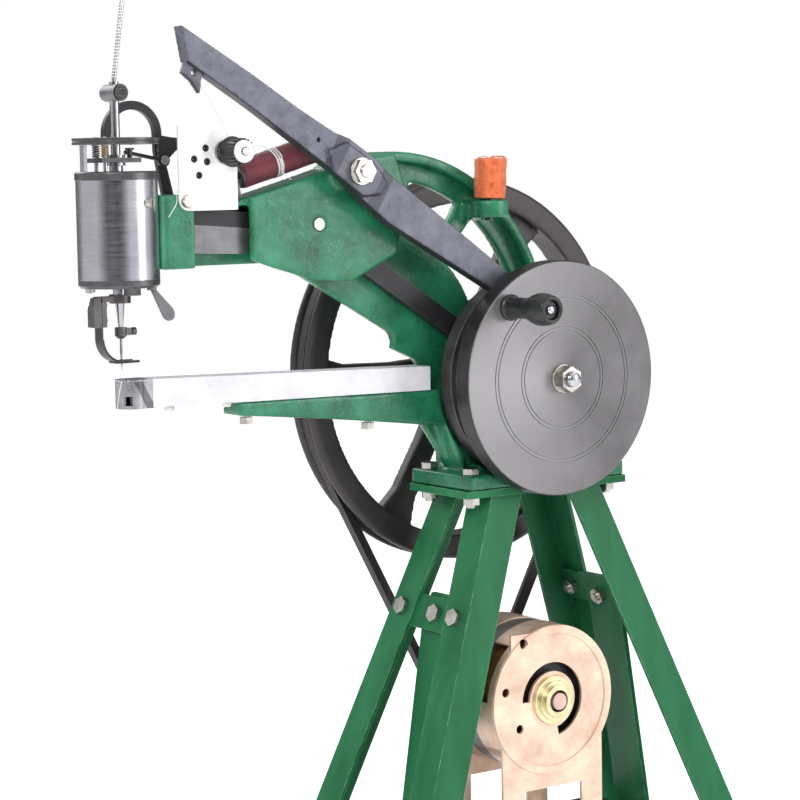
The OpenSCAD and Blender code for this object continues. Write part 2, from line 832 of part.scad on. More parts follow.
// Flat post at the left and the two pins that carry the springs
module guide_posts() {
    color(steel) {
        translate([hx - 28, -3, barrel_top_z + seat_gap]) cube([3, 6, plate_z + plate_t - barrel_top_z]);
        for (y = spring_ys) translate([hx - 12, y, 782]) cylinder(r = 1.5, h = plate_z + plate_t + 0.8 - 782);
    }
}

// Hoop over the plate, running down as a strap to the head block
module bridge_strap() {
    foot_x = hoop_c[0] + hoop_r0;
    color(black) difference() {
        slab(strap_y, strap_y + strap_t) {
            difference() {
                translate(hoop_c) circle(hoop_r1);
                translate(hoop_c) circle(hoop_r0);
                translate(hoop_c + [-40, -80]) square([80, 80]);
            }
            translate([hoop_c[0] - hoop_r1, plate_z + 0.5])
                square([hoop_r1 - hoop_r0, hoop_c[1] - plate_z - 0.4]);
            polygon([
                [foot_x, hoop_c[1] + 0.1], [foot_x + 6.5, hoop_c[1] + 0.1], [foot_x + 7.5, 806],
                [foot_x + 15.5, 774 + seat_gap], [foot_x + 6.5, 774 + seat_gap], [foot_x + 0.5, 806],
            ]);
        }
        rod_y(lifter_pivot[0], lifter_pivot[1], 0, 30, 2 + seat_gap);
    }
}

// Bridge that lifts the presser tube, sliding on the two spring pins
module lift_arm() {
    color("#808388") difference() {
        union() {
            slab_z(lift_z, lift_z + lift_t) {
                translate([hx - 17, -11]) square([14, 24]);
                translate([hx - 10, -6]) square([28, 12]);
                translate([hx + 11, -4]) square([7, 13]);
            }
            translate([stub_x, stub_y, lift_z + 1]) cylinder(r = 2, h = stub_head_z - lift_z);
            translate([stub_x, stub_y, stub_head_z]) cylinder(r = 3.4, h = 1.6);
        }
        translate([hx, 0, 780]) cylinder(r = tube_r + run_gap, h = 40);
        for (y = spring_ys) translate([hx - 12, y, 780]) cylinder(r = 1.5 + 0.1, h = 40);
    }
}

module slab_z(z0, z1) {
    translate([0, 0, z0]) linear_extrude(z1 - z0) children();
}

// Open coil of round wire, as a chain of short straight lengths
module coil(r, wire, z0, z1, turns) {
    steps = 8;
    n = turns * steps;
    rise = (z1 - z0 - 2 * wire) / n;
    function at(i) = [r * cos(i * 360 / steps), r * sin(i * 360 / steps), z0 + wire + rise * i];
    for (i = [0 : n - 1]) {
        a = at(i);
        d = at(i + 1) - a;
        translate(a) rotate([0, acos(d[2] / norm(d)), atan2(d[1], d[0])])
            cylinder(r = wire, h = norm(d) + 0.1, $fn = 16);
    }
}

module presser_springs() {
    z0 = lift_z + lift_t + 0.05;
    z1 = plate_z - 0.05;
    color(black) translate([hx - 12, spring_ys[1], 0]) coil(2.6, 0.55, z0, z1, 3);
    color("#b8923c") translate([hx - 12, spring_ys[0], 0]) coil(2.6, 0.55, z0, z1, 3);
}

// Thumb lever whose finger bears under the stub's head
module presser_lifter() {
    p = lifter_pivot;
    tip = [stub_x, p[1] + foot_lift / 2];
    y = strap_y - 0.3;
    color(black) difference() {
        slab(y - 3.5, y) {
            translate(p) circle(5);
            link(p, tip, lifter_tip_r - 0.4);
            translate(tip) circle(lifter_tip_r);
            polygon([
                p + [-4.6, 1], p + [-5, 9], p + [-3, 18.5], p + [6, 17], p + [13, 16.5], p + [23, 19.5],
                p + [19.5, 12], p + [20.5, 5.5], p + [11, 7.5], p + [4.4, 1.5],
            ]);
        }
        rod_y(p[0], p[1], 0, 30, 2 + run_gap);
    }
}

// Rotating sleeve in the barrel with the ring below it
module turret() {
    color("#6a6b70") difference() {
        turned_head() polygon([
            [tube_r + run_gap, turret_z], [barrel_r - 2, turret_z], [barrel_r, turret_z + 2],
            [barrel_r, barrel_z - 0.1],
            [barrel_r - 3 - run_gap, barrel_z - 0.1], [barrel_r - 3 - run_gap, 720], [tube_r + run_gap, 720],
        ]);
        for (w = wings) rotate_about_head(w[0]) translate([wing_in, 0, turret_z - 10])
            cylinder(r = 1.6, h = 18);
    }
    // Nut that locks the sleeve, at the front
    color("#4a4a4e") rotate_about_head(-95) translate([wing_in - 1, 0, turret_z - 5]) hex(11, 5.1);
}

module rotate_about_head(a) {
    translate([hx, 0, 0]) rotate([0, 0, a]) children();
}

module turning_wings() {
    color("#dfe1e3") for (w = wings) rotate_about_head(w[0]) {
        translate([wing_in, 0, turret_z - 2.5]) cylinder(r = 3.6, h = 2.5 - seat_gap);
        translate([wing_in, 0, turret_z - 2.4]) cylinder(r = 1.5, h = 8.5);
        translate([wing_in, 0, turret_z - 1]) rotate([0, -32, 0]) rotate([0, 0, w[1]]) rotate([90, 0, 0])
            linear_extrude(1.6, center = true) hull() {
                translate([0, -1.6]) circle(1.8, $fn = 32);
                translate([0, -22]) circle(6.2, $fn = 48);
            }
    }
}

// Tube round the needle bar, slotted for the spool's cross pin
module presser_tube() {
    color("#8a8d92") difference() {
        turned_head() polygon([
            [bar_r + 0.1, clamp_z - 0.1], [tube_r, clamp_z - 0.1], [tube_r, lift_z - 2.3], [7, lift_z - 2.3],
            [7, lift_z - 0.1], [tube_r, lift_z - 0.1], [tube_r, lift_z + lift_t + 0.1],
            [6.8, lift_z + lift_t + 0.1], [6.8, lift_z + lift_t + 2.2], [bar_r + 0.1, lift_z + lift_t + 2.2],
        ]);
        slab(-10, 10) translate([hx - slot_w / 2, spool_z - stroke - 3])
            square([slot_w, stroke + foot_lift + 6]);
    }
}

module foot_clamp() {
    color("#3a3b3e") difference() {
        union() {
            translate([hx, 0, clamp_z]) cylinder(r = 8, h = 6.4);
            translate([hx - 20, -4, clamp_z + 1.4]) cube([20, 8, 4]);
            translate([hx - 24, -5.5, clamp_z - 17]) cube([5.5, 11, 21.5]);
            translate([hx - 17.3, -5.5, clamp_z - 17]) cube([3.5, 11, 21.5]);
        }
        translate([hx, 0, clamp_z - 10]) cylinder(r = tube_r + seat_gap, h = 30);
    }
    color("#c9a24a") for (z = [clamp_z - 12, clamp_z - 1]) translate([hx - 13.75, -2, z])
        rotate([0, 90, 0]) cylinder(r1 = 2.2, r2 = 1.7, h = 1.6);
}

// Curved strip foot whose toe is a fork round the needle
module presser_foot() {
    t = 1.8;
    r = 18;
    w = 5.5;
    x0 = hx - 18.45;
    z0 = 651.6;
    color("#303136") difference() {
        union() {
            slab(-w, w) {
                translate([x0, z0 + r]) square([1.1, clamp_z + 1.3 - z0 - r]);
                translate([x0 + r, z0 + r]) difference() {
                    intersection() {
                        circle(r, $fn = 96);
                        translate([-r, -r]) square([r, r]);
                    }
                    circle(r - t, $fn = 96);
                }
            }
            slab_z(z0, z0 + t) polygon([
                [x0 + r - 7, -w], [hx - 4, -7.5], [hx + 9, -7.5], [hx + 12, -5.8], [hx + 12, 5.8],
                [hx + 9, 7.5], [hx - 4, 7.5], [x0 + r - 7, w],
            ]);
        }
        translate([hx - 5.2, -4.7, z0 - 1]) cube([20, 9.4, 14]);
    }
}

module needle_bar() {
    gap = 2 * finger_r + 0.5;
    color("#c4c7cc") difference() {
        union() {
            translate([hx, 0, 697]) cylinder(r = bar_r, h = block_z + 8 - 697);
            translate([hx, 0, 678]) cylinder(r1 = 1.9, r2 = bar_r, h = 19);
            turned_head() polygon([
                [tube_r + run_gap, spool_z - gap / 2 - 3], [12, spool_z - gap / 2 - 3], [12, spool_z - gap / 2],
                [7, spool_z - gap / 2], [7, spool_z + gap / 2], [12, spool_z + gap / 2],
                [12, spool_z + gap / 2 + 3], [tube_r + run_gap, spool_z + gap / 2 + 3],
            ]);
            translate([hx, -6.5, spool_z]) rotate([-90, 0, 0]) cylinder(r = pin_r, h = 13);
        }
        // Shallow flute down the upper part
        translate([hx - 3.9, -0.7, plate_z + 8]) cube([1.2, 1.4, 20]);
        translate([hx, 0, 677]) cylinder(r = 1.05, h = 12);
    }
}

module cross_block() {
    color("#7d8086") difference() {
        rod_y(hx, block_z, -10.2, 11, 6.3);
        translate([hx, 0, 830]) cylinder(r = bar_r + seat_gap, h = 40);
    }
    color("#3c3d40") difference() {
        rod_y(hx, block_z, -11.8, -10.2, 5.2);
        translate([hx, -12.3, block_z]) rotate([-90, 0, 0]) cylinder(r = 2.9, h = 1.4, $fn = 6);
    }
}

module thread_tube() {
    color(steel) translate([hx, 0, block_z + 8.3]) rotate([0, 8.5, 0]) difference() {
        cylinder(r = 1.6, h = 92);
        translate([0, 0, 30]) cylinder(r = 0.9, h = 70);
    }
}

module needle_clamp() {
    color("#9a9da2") {
        difference() {
            union() {
                translate([hx, 0, 669.5]) cylinder(r1 = 2.4, r2 = 4.4, h = 2);
                translate([hx, 0, 671.5]) cylinder(r = 4.4, h = 6.3);
                translate([hx, -3, 671.8]) cube([7, 6, 5.4]);
            }
            translate([hx, 0, 660]) cylinder(r = 1 + seat_gap, h = 30);
        }
        translate([hx + 7, 0, 674.5]) rotate([0, 90, 0]) cylinder(r = 1.8, h = 2.2);
        translate([hx + 9.1, 0, 674.5]) rotate([0, 90, 0]) cylinder(r = 2.9, h = 3);
    }
}

module needle() {
    color("#d5d7da") difference() {
        union() {
            translate([hx, 0, 658]) cylinder(r = 1, h = 30);
            translate([hx, 0, 649]) cylinder(r = 0.8, h = 10);
            translate([hx, 0, needle_tip_z]) cylinder(r1 = 0.08, r2 = 0.8, h = 4);
        }
        translate([hx, -3, 650.5]) rotate([-90, 0, 0]) cylinder(r = 0.35, h = 6, $fn = 16);
    }
}

// ---------- thread path ----------

module tension_plate() {
    color("#eceeef") difference() {
        slab(tension_y - 2, tension_y - seat_gap) difference() {
            union() {
                translate([-325, 770]) square([50, 55]);
                translate([-317, 762]) square([42, 12]);
                translate([-317, 770]) circle(8);
            }
            for (h = [[-302, 808], [-312, 800], [-301, 798], [-308, 788]]) translate(h) circle(2.4);
            translate(knob) circle(3);
        }
        translate([-319, 0, 769]) rotate([90, 0, 0]) cylinder(r = 2.2, h = 30);
    }
}

module tension_stem() {
    color(steel) {
        rod_y(knob[0], knob[1], tension_y - 33, tension_y + 2, 2.6);
        translate([knob[0], tension_y + seat_gap, knob[1]]) rotate([-90, 0, 0]) hex(11, 4);
        for (i = [0, 1]) rod_y(knob[0], knob[1], tension_y - 4.2 - i * 1.7, tension_y - 3.2 - i * 1.7, 9);
        rod_y(knob[0], knob[1], tension_y - 3, tension_y - 2 - seat_gap, 5);
    }
    color("#9b9b9b") translate([knob[0], tension_y - 6, knob[1]]) rotate([90, 0, 0])
        coil(4.2, 0.5, 0.4, 7.4, 3);
}

// Ribbed cone with a pale cap
module tension_knob() {
    y0 = tension_y - 30;
    ribs = 18;
    color(black) difference() {
        translate([knob[0], y0 + 16, knob[1]]) rotate([90, 0, 0]) union() {
            cylinder(r1 = 11.5, r2 = 9.5, h = 4);
            translate([0, 0, 4]) cylinder(r1 = 9.5, r2 = 8.4, h = 12);
            for (i = [0 : ribs - 1]) rotate([0, 0, i * 360 / ribs]) translate([7.9, -0.6, 3])
                cube([2, 1.2, 12.6]);
        }
        rod_y(knob[0], knob[1], y0 - 5, y0 + 20, 2.6 + run_gap);
    }
    color("#e9e9e6") difference() {
        rod_y(knob[0], knob[1], y0 - 2, y0 - 0.01, 8);
        rod_y(knob[0], knob[1], y0 - 5, y0 + 1, 3.4);
    }
}

module screw_at(x, y, z) {
    translate([x, y, z]) rotate([90, 0, 0]) children();
}

// Bolt up into the lower arm at x, with its head below the tongue
module arm_bolt(x, len) {
    translate([x, 0, arm_bottom(x) + 1.5]) rotate([180, 0, 0]) {
        cylinder(r = 3 - seat_gap, h = len + 2);
        translate([0, 0, len + 1.9]) hex(10, 5);
    }
}

module small_screws() {
    color("#c8c4b8") {
        screw_at(-319, tension_y - 2 - seat_gap, 769) slot_screw(1.9, 5, 3, 8);
        barrel_screw_places() translate([0, 0, seat_gap]) slot_screw(1.8, 4.2, 3.6, 2.6);
        for (b = [[-262, 12.3], [-150, 23.2]]) arm_bolt(b[0], b[1]);
        arm_screw_places() translate([0, 0, 0.1]) slot_screw(1.5, 4, 2.6, 6);
    }
}

module at_spool() {
    translate(spool_a) rotate([0, 90 - spool_tilt, 0]) children();
}

module at_bobbin() {
    translate(bobbin_at) rotate([0, bobbin_tilt, 0]) children();
}

module spool_spindles() {
    color(steel) {
        at_spool() {
            translate([0, 0, -6]) cylinder(r = 2.5, h = spool_len + 12);
            for (b = [[-5, 15.8], [spool_len + 2, 10]]) translate([0, -4, b[0]]) cube([b[1], 8, 2.4]);
        }
        at_bobbin() cylinder(r = 2.5, h = 31);
        translate([bobbin_at[0], bobbin_at[1], bobbin_at[2] - 16]) cylinder(r = 3 - seat_gap, h = 16.1);
    }
}

module thread_spool() {
    color("#5d1f2b") at_spool() difference() {
        union() {
            cylinder(r = 9.4, h = spool_len);
            translate([0, 0, 4]) cylinder(r = 11, h = spool_len - 8);
        }
        translate([0, 0, -1]) cylinder(r = 2.5 + run_gap, h = spool_len + 2);
    }
}

module spare_bobbin() {
    color("#d2703a") at_bobbin() translate([0, 0, 0.8]) difference() {
        union() {
            cylinder(r = 11.6, h = 33);
            translate([0, 0, 2]) cylinder(r = 13.2, h = 29);
        }
        translate([0, 0, -1]) cylinder(r = 2.5 + run_gap, h = 40);
    }
}

// ---------- motor ----------

// Round outline of the shells, with the mounting lug at the upper left
module shell_outline(r) {
    translate([0, motor_z]) circle(r, $fn = 128);
    translate([-42, motor_z + 30]) square([30, 28]);
    translate([-52, shelf_z + 3 + seat_gap]) square([104, motor_z - shelf_z - 24]);
}

module shell_holes() {
    translate([0, motor_z]) {
        circle(boss_r + seat_gap);
        // Crescent vent round the boss
        sector(boss_r + 3.5, boss_r + 11, -78, 178);
        translate([-48, 12]) circle(3.6);
        translate([-34, -20]) circle(3.6);
        translate([-30, 50]) circle(4);
    }
}

module end_shell(y0, y1, vents) {
    inward = y0 < 0 ? 1 : -1;
    face = y0 < 0 ? y0 : y1;
    t = 2.5;
    difference() {
        union() {
            slab(y0, y1) translate([0, motor_z]) circle(motor_r, $fn = 128);
            slab(min(face, face + inward * t), max(face, face + inward * t)) shell_outline(motor_r);
            // Rolled rim, proud of the face
            slab(min(face - inward * 1.4, face + inward), max(face - inward * 1.4, face + inward))
                translate([0, motor_z]) difference() {
                    circle(motor_r - 0.4, $fn = 128);
                    circle(motor_r - 7, $fn = 128);
                }
            for (sx = [-1, 1]) translate([sx * 46 - 10, min(face, face + inward * 24), shelf_z + seat_gap])
                cube([20, 24, 3]);
        }
        slab(min(face + inward * t, face + inward * 60), max(face + inward * t, face + inward * 60))
            translate([0, motor_z]) circle(motor_r - t, $fn = 128);
        slab(face - 5, face + 5) shell_holes();
        slab(face - 5, face + 5) translate([-30, shelf_z + 12]) square([60, 32]);
        // Side opening that shows the coil
        if (!vents) slab(y0 + 7, y1 + 1) translate([0, motor_z]) sector(motor_r - 6, motor_r + 6, 128, 176);
        motor_foot_places() cylinder(r = bolt_r, h = 60, center = true);
        if (vents) for (a = [150 : 24 : 390]) translate([0, 0, motor_z]) rotate([0, -a, 0])
            translate([motor_r - 6, y0 + 5, -3.5]) cube([12, y1 - y0 - 12, 7]);
    }
}

module motor_front_shell() { color(copper) end_shell(motor_front_y, motor_front_y + 27, false); }
module motor_rear_shell() { color(copper) end_shell(motor_rear_y - 30, motor_rear_y, true); }

// Bearing bosses, laminated stator and its coil
module motor_core() {
    color("#c8b27a") difference() {
        union() {
            rod_y(0, motor_z, motor_front_y - 3, motor_front_y + 8, boss_r);
            rod_y(0, motor_z, motor_front_y - 6, motor_front_y + 8, boss_r - 3.5);
            rod_y(0, motor_z, motor_front_y - 9, motor_front_y + 8, boss_r - 6.5);
            rod_y(0, motor_z, motor_rear_y - 8, motor_rear_y + 3, boss_r);
        }
        rod_y(0, motor_z, -60, 60, 9);
    }
    color("#8a8a8a") difference() {
        rod_y(0, motor_z, motor_front_y + 27 + seat_gap, motor_rear_y - 30 - seat_gap, motor_r - 1);
        rod_y(0, motor_z, -60, 60, 34);
    }
    color("#c8702a") difference() {
        rod_y(0, motor_z, motor_front_y + 9, motor_rear_y - 9, motor_r - 8);
        rod_y(0, motor_z, -60, 60, 40);
    }
}

module motor_rotor() {
    color(steel) {
        rod_y(0, motor_z, motor_front_y - 10, 100, 7);
        rod_y(0, motor_z, -22, 16, 30);
        // Cooling disc
        rod_y(0, motor_z, -32.5, -30.5, 37);
    }
}

module motor_pulley() {
    w = 22;
    color(iron) translate([0, belt_y, 0]) turned_y(motor_z) polygon([
        [7 + seat_gap, -w / 2], [pulley_r, -w / 2], [pulley_r, -7], [pulley_belt_r - 7, -2.5],
        [pulley_belt_r - 7, 2.5], [pulley_r, 7], [pulley_r, w / 2], [7 + seat_gap, w / 2],
    ]);
}

// Trapezoid section of the vee belt, with its pitch line at radius r and its faces set in by gap
module belt_profile(r, gap = 0) {
    translate([r, 0]) polygon([
        [gap - 5, gap - 1.9], [3.4 - gap, gap - 4.6], [3.4 - gap, 4.6 - gap], [gap - 5, 1.9 - gap],
    ]);
}

// Belt round both wheels: two straight runs and two arcs
module drive_belt() {
    rb = belt_r;
    rs = pulley_belt_r;
    d = shaft_z - motor_z;
    lean = asin((rb - rs) / d);
    run = sqrt(d * d - (rb - rs) * (rb - rs));
    lap = 1;   // the straight runs end inside the arcs
    color(black) translate([0, belt_y, 0]) {
        translate([0, 0, shaft_z]) rotate([-90, 0, 0]) rotate([0, 0, 180 - lean])
            rotate_extrude(angle = 180 + 2 * lean, $fn = 128) belt_profile(rb);
        translate([0, 0, motor_z]) rotate([-90, 0, 0]) rotate([0, 0, lean])
            rotate_extrude(angle = 180 - 2 * lean, $fn = 96) belt_profile(rs);
        for (sx = [-1, 1]) mirror([sx < 0 ? 1 : 0, 0, 0])
            translate([rs * cos(lean), 0, motor_z - rs * sin(lean)]) rotate([0, lean, 0])
                translate([0, 0, -lap]) linear_extrude(run + 2 * lap) belt_profile(0, 0.05);
    }
}

main_casting();
stand_top();
leg_front_left();
leg_rear_left();
leg_front_right();
leg_rear_right();
crossbar_left();
crossbar_right();
shelf_hangers();
motor_shelf();
stand_bolts();
lower_arm();
arm_tip();
needle_plate();
small_screws();
main_shaft();
shaft_bushes();
crank_disc();
cam_drum();
flywheel();
shaft_nuts();
grip_spindle();
crank_grip();
take_up_lever();
take_up_roller();
lever_pins();
needle_lever();
needle_lever_roller();
head_barrel();
barrel_top_ring();
top_plate();
guide_posts();
bridge_strap();
lift_arm();
presser_springs();
presser_lifter();
turret();
turning_wings();
presser_tube();
foot_clamp();
presser_foot();
needle_bar();
cross_block();
thread_tube();
needle_clamp();
needle();
tension_plate();
tension_stem();
tension_knob();
spool_spindles();
thread_spool();
spare_bobbin();
shuttle();
rack_bar();
motor_front_shell();
motor_rear_shell();
motor_core();
motor_rotor();
motor_pulley();
drive_belt();
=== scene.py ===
import bpy
import math
import random
from mathutils import Matrix, Vector


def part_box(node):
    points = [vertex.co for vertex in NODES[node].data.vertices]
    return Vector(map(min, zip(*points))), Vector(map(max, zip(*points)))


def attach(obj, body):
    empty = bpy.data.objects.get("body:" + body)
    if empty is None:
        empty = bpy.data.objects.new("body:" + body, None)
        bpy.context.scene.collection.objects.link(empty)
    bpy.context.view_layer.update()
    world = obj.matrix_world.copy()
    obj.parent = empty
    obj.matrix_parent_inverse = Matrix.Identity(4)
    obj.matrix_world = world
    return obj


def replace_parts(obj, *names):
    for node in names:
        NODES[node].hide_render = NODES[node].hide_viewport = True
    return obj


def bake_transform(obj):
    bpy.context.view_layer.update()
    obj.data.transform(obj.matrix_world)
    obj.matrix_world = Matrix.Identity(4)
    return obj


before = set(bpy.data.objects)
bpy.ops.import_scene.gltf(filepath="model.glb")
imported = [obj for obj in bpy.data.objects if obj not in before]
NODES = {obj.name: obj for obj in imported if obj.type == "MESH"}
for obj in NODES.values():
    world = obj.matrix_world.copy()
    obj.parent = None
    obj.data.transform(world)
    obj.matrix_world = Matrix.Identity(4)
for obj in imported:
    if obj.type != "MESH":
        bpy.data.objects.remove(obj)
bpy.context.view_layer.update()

MM = 0.001
Z = Vector((0, 0, 1))


def lo(node):
    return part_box(node)[0] / MM


def hi(node):
    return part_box(node)[1] / MM


def mid(node):
    a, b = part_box(node)
    return (a + b) / 2 / MM


# ---------------------------------------------------------------- materials


class Shader:
    """A short way to write a node tree around one Principled shader."""

    def __init__(self, name):
        self.mat = bpy.data.materials.new(name)
        self.mat.use_nodes = True
        self.nodes = self.mat.node_tree.nodes
        self.links = self.mat.node_tree.links
        self.bsdf = self.nodes["Principled BSDF"]
        self._coords = None

    def put(self, socket, value):
        if isinstance(value, bpy.types.NodeSocket):
            self.links.new(value, socket)
        elif hasattr(value, "__len__") and len(value) == 3 and socket.type == "RGBA":
            socket.default_value = (*value, 1)
        else:
            socket.default_value = value

    def node(self, kind, out=0, inputs=None, **settings):
        n = self.nodes.new(kind)
        for k, v in settings.items():
            setattr(n, k, v)
        for k, v in (inputs or {}).items():
            self.put(n.inputs[k], v)
        return n.outputs[out]

    def coords(self):
        if self._coords is None:
            self._coords = self.node("ShaderNodeTexCoord", out="Object")
        return self._coords

    def noise(self, scale, detail=4, rough=0.55, stretch=(1, 1, 1)):
        vector = self.node("ShaderNodeMapping", inputs={"Vector": self.coords(), "Scale": stretch})
        return self.node("ShaderNodeTexNoise", inputs={
            "Vector": vector, "Scale": scale, "Detail": detail, "Roughness": rough})

    def voronoi(self, scale):
        return self.node("ShaderNodeTexVoronoi", inputs={"Vector": self.coords(), "Scale": scale})

    def math(self, op, a, b=0.0):
        return self.node("ShaderNodeMath", operation=op, inputs={0: a, 1: b})

    def ramp(self, fac, *stops):
        n = self.nodes.new("ShaderNodeValToRGB")
        self.put(n.inputs[0], fac)
        while len(n.color_ramp.elements) < len(stops):
            n.color_ramp.elements.new(0.5)
        for e, (pos, col) in zip(n.color_ramp.elements, stops):
            e.position = pos
            e.color = (*col, 1) if hasattr(col, "__len__") else (col, col, col, 1)
        return n.outputs[0]

    def span(self, fac, a, b, c=0.0, d=1.0):
        return self.node("ShaderNodeMapRange", inputs={
            "Value": fac, "From Min": a, "From Max": b, "To Min": c, "To Max": d})

    def mix(self, fac, a, b):
        n = self.nodes.new("ShaderNodeMix")
        n.data_type = "RGBA"
        self.put(n.inputs[0], fac)
        self.put(n.inputs[6], a)
        self.put(n.inputs[7], b)
        return n.outputs[2]

    def edge_wear_and_light(self, radius):
        """1 near any edge: how far a normal rounded over radius, in millimetres, turns from the true one."""
        soft = self.node("ShaderNodeBevel", samples=4, inputs={"Radius": radius * MM})
        g = self.nodes.new("ShaderNodeNewGeometry")
        d = self.node("ShaderNodeVectorMath", out="Value", operation="DOT_PRODUCT",
                      inputs={0: soft, 1: g.outputs["Normal"]})
        return self.span(self.math("SUBTRACT", 1.0, d), 0.03, 0.35)

    def split(self, vector):
        """X, Y and Z of a vector."""
        n = self.nodes.new("ShaderNodeSeparateXYZ")
        self.put(n.inputs[0], vector)
        return n.outputs

    def from_point(self, place):
        """Where the surface is, seen from a place in millimetres."""
        return self.node("ShaderNodeVectorMath", operation="SUBTRACT",
                         inputs={0: self.coords(), 1: Vector(place) * MM})

    def bump(self, height, strength=0.3, distance=0.2, normal=None):
        inputs = {"Height": height, "Strength": strength, "Distance": distance * MM}
        if normal is not None:
            inputs["Normal"] = normal
        return self.node("ShaderNodeBump", inputs=inputs)

    def finish(self, **values):
        names = dict(color="Base Color", metal="Metallic", rough="Roughness", normal="Normal",
                     coat="Coat Weight", coat_rough="Coat Roughness", sheen="Sheen Weight",
                     spec="Specular IOR Level")
        for k, v in values.items():
            self.put(self.bsdf.inputs[names[k]], v)
        return self.mat


def scale_color(color, factor, lift=0.0):
    return tuple(min(1, c * factor + lift) for c in color)


def cast_enamel(name, dark, mid_, light, gloss=0.28):
    """Glossy paint over cast iron: blotches, sand-cast grain and a painted highlight that makes the edges paler.
    """
    s = Shader(name)
    big = s.noise(38, 3)
    fine = s.noise(420, 3, 0.6)
    color = s.ramp(big, (0.3, dark), (0.52, mid_), (0.78, light))
    color = s.mix(s.span(fine, 0.5, 0.72, 0, 0.45), color, light)
    # painted highlight: the edges pushed well past the paint's own light tone
    color = s.mix(s.math("MULTIPLY", s.edge_wear_and_light(1.6), 0.55), color, scale_color(light, 1.7, 0.05))
    rough = s.span(s.noise(160, 4), 0.3, 0.7, gloss - 0.08, gloss + 0.16)
    bump = s.bump(fine, 0.35, 0.5, s.bump(s.noise(120, 3), 0.5, 0.9))
    return s.finish(color=color, rough=rough, normal=bump, coat=0.12, coat_rough=0.2, spec=0.42)


def sheet_enamel(name, dark, light, gloss=0.32):
    """Brushed and sprayed paint on rolled angle iron: long runs, dirt and paler green patches along the edges."""
    s = Shader(name)
    runs = s.noise(26, 4, 0.6, stretch=(1, 1, 0.18))
    color = s.ramp(runs, (0.3, dark), (0.7, light))
    color = s.mix(s.span(s.noise(240, 4, 0.7), 0.62, 0.75, 0, 0.3), color, scale_color(dark, 0.45))
    edge_wear_and_light = s.math("MULTIPLY", s.edge_wear_and_light(1.2), s.span(s.noise(90, 5, 0.7), 0.42, 0.62))
    color = s.mix(edge_wear_and_light, color, (0.33, 0.5, 0.4))
    rough = s.span(runs, 0.3, 0.7, gloss, gloss + 0.16)
    bump = s.bump(s.noise(300, 3), 0.16, 0.4, s.bump(runs, 0.25, 0.8))
    return s.finish(color=color, rough=rough, normal=bump, coat=0.02, coat_rough=0.3, spec=0.16)


def metal(name, base, rough=0.3, spread=0.1, metal_=1.0, stretch=None, scratch=0.12, blotch=0.25,
          scale=60, tint=None, edge=0.0, lines_mix=0.22, shade=None):
    """Bare metal: blotches in colour and gloss, brushed lines along one direction, brighter edges.

    shade takes the shader and returns how far each place is darkened with painted shade."""
    s = Shader(name)
    cloud = s.noise(scale, 5, 0.62)
    lines = s.noise(900, 2, 0.5, stretch=stretch) if stretch else s.noise(700, 3, 0.6)
    color = s.ramp(cloud, (0.3, scale_color(base, 1 - blotch)), (0.7, scale_color(tint or base, 1 + blotch)))
    color = s.mix(s.span(lines, 0.35, 0.7, 0, lines_mix), color, scale_color(base, 0.6))
    if shade:
        color = s.mix(shade(s), color, scale_color(base, 0.2))
    if edge:
        color = s.mix(s.math("MULTIPLY", s.edge_wear_and_light(0.7), edge), color, (0.75, 0.75, 0.76))
    r = s.math("ADD", s.span(cloud, 0.3, 0.7, rough - spread / 2, rough + spread / 2),
               s.span(lines, 0.3, 0.7, -0.03, 0.05))
    normal = s.bump(lines, scratch, 0.12, s.bump(cloud, scratch * 0.5, 0.3))
    return s.finish(color=color, metal=metal_, rough=r, normal=normal)


def along(s, centre, angle):
    """Distance in millimetres from centre along a line in the XZ plane that points down by angle."""
    a = math.radians(angle)
    d = s.node("ShaderNodeVectorMath", out="Value", operation="DOT_PRODUCT",
               inputs={0: s.from_point(centre), 1: (math.cos(a), 0, -math.sin(a))})
    return s.math("DIVIDE", d, MM)


def band(s, distance, centre, half):
    """1 within half of centre, falling off over the next tenth."""
    off = s.math("ABSOLUTE", s.math("SUBTRACT", distance, centre))
    return s.span(off, half, half * 1.1, 1.0, 0.0)


def underside(s):
    """1 on faces that look down."""
    normal = s.nodes.new("ShaderNodeNewGeometry").outputs["Normal"]
    return s.span(s.split(normal)[2], -0.25, -0.55)


def lever_shade(s):
    """Painted shade over the filed slopes on both sides of the pivot pad, and on the faces that look down."""
    u = along(s, LEVER_PIVOT, LEVER_SLOPE)
    slopes = s.math("MAXIMUM", *(band(s, u, place, PAD_SLOPE_HALF) for place in PAD_SLOPES))
    return s.math("MAXIMUM", s.math("MULTIPLY", slopes, 0.55), s.math("MULTIPLY", underside(s), 0.8))


def tip_shade(s):
    """A shadowed band across the slanting end of the arm tip."""
    u = along(s, (TIP_X, 0, TIP_MIDDLE_Z), TIP_SLANT)
    return s.math("MULTIPLY", band(s, u, 11, 3.2), 0.75)


def barrel_shade(s):
    """Painted dark reflection: a darker run down the side of the barrel that faces the front left."""
    xyz = s.split(s.from_point(mid("head_barrel")))
    turn = s.math("ARCTAN2", xyz[1], xyz[0])
    off = s.math("ABSOLUTE", s.math("SUBTRACT", turn, math.radians(VIEW_AZIMUTH - 90)))
    return s.span(off, 0.12, 0.42, 0.65, 0.0)


def ring_coords(s, centre):
    """Distance from an axis along Y through centre, and the angle round it, in millimetres and turns."""
    x, _, z = s.split(s.from_point(centre))
    r = s.math("SQRT", s.math("ADD", s.math("MULTIPLY", x, x), s.math("MULTIPLY", z, z)))
    return s.math("DIVIDE", r, MM), s.math("DIVIDE", s.math("ARCTAN2", z, x), 2 * math.pi)


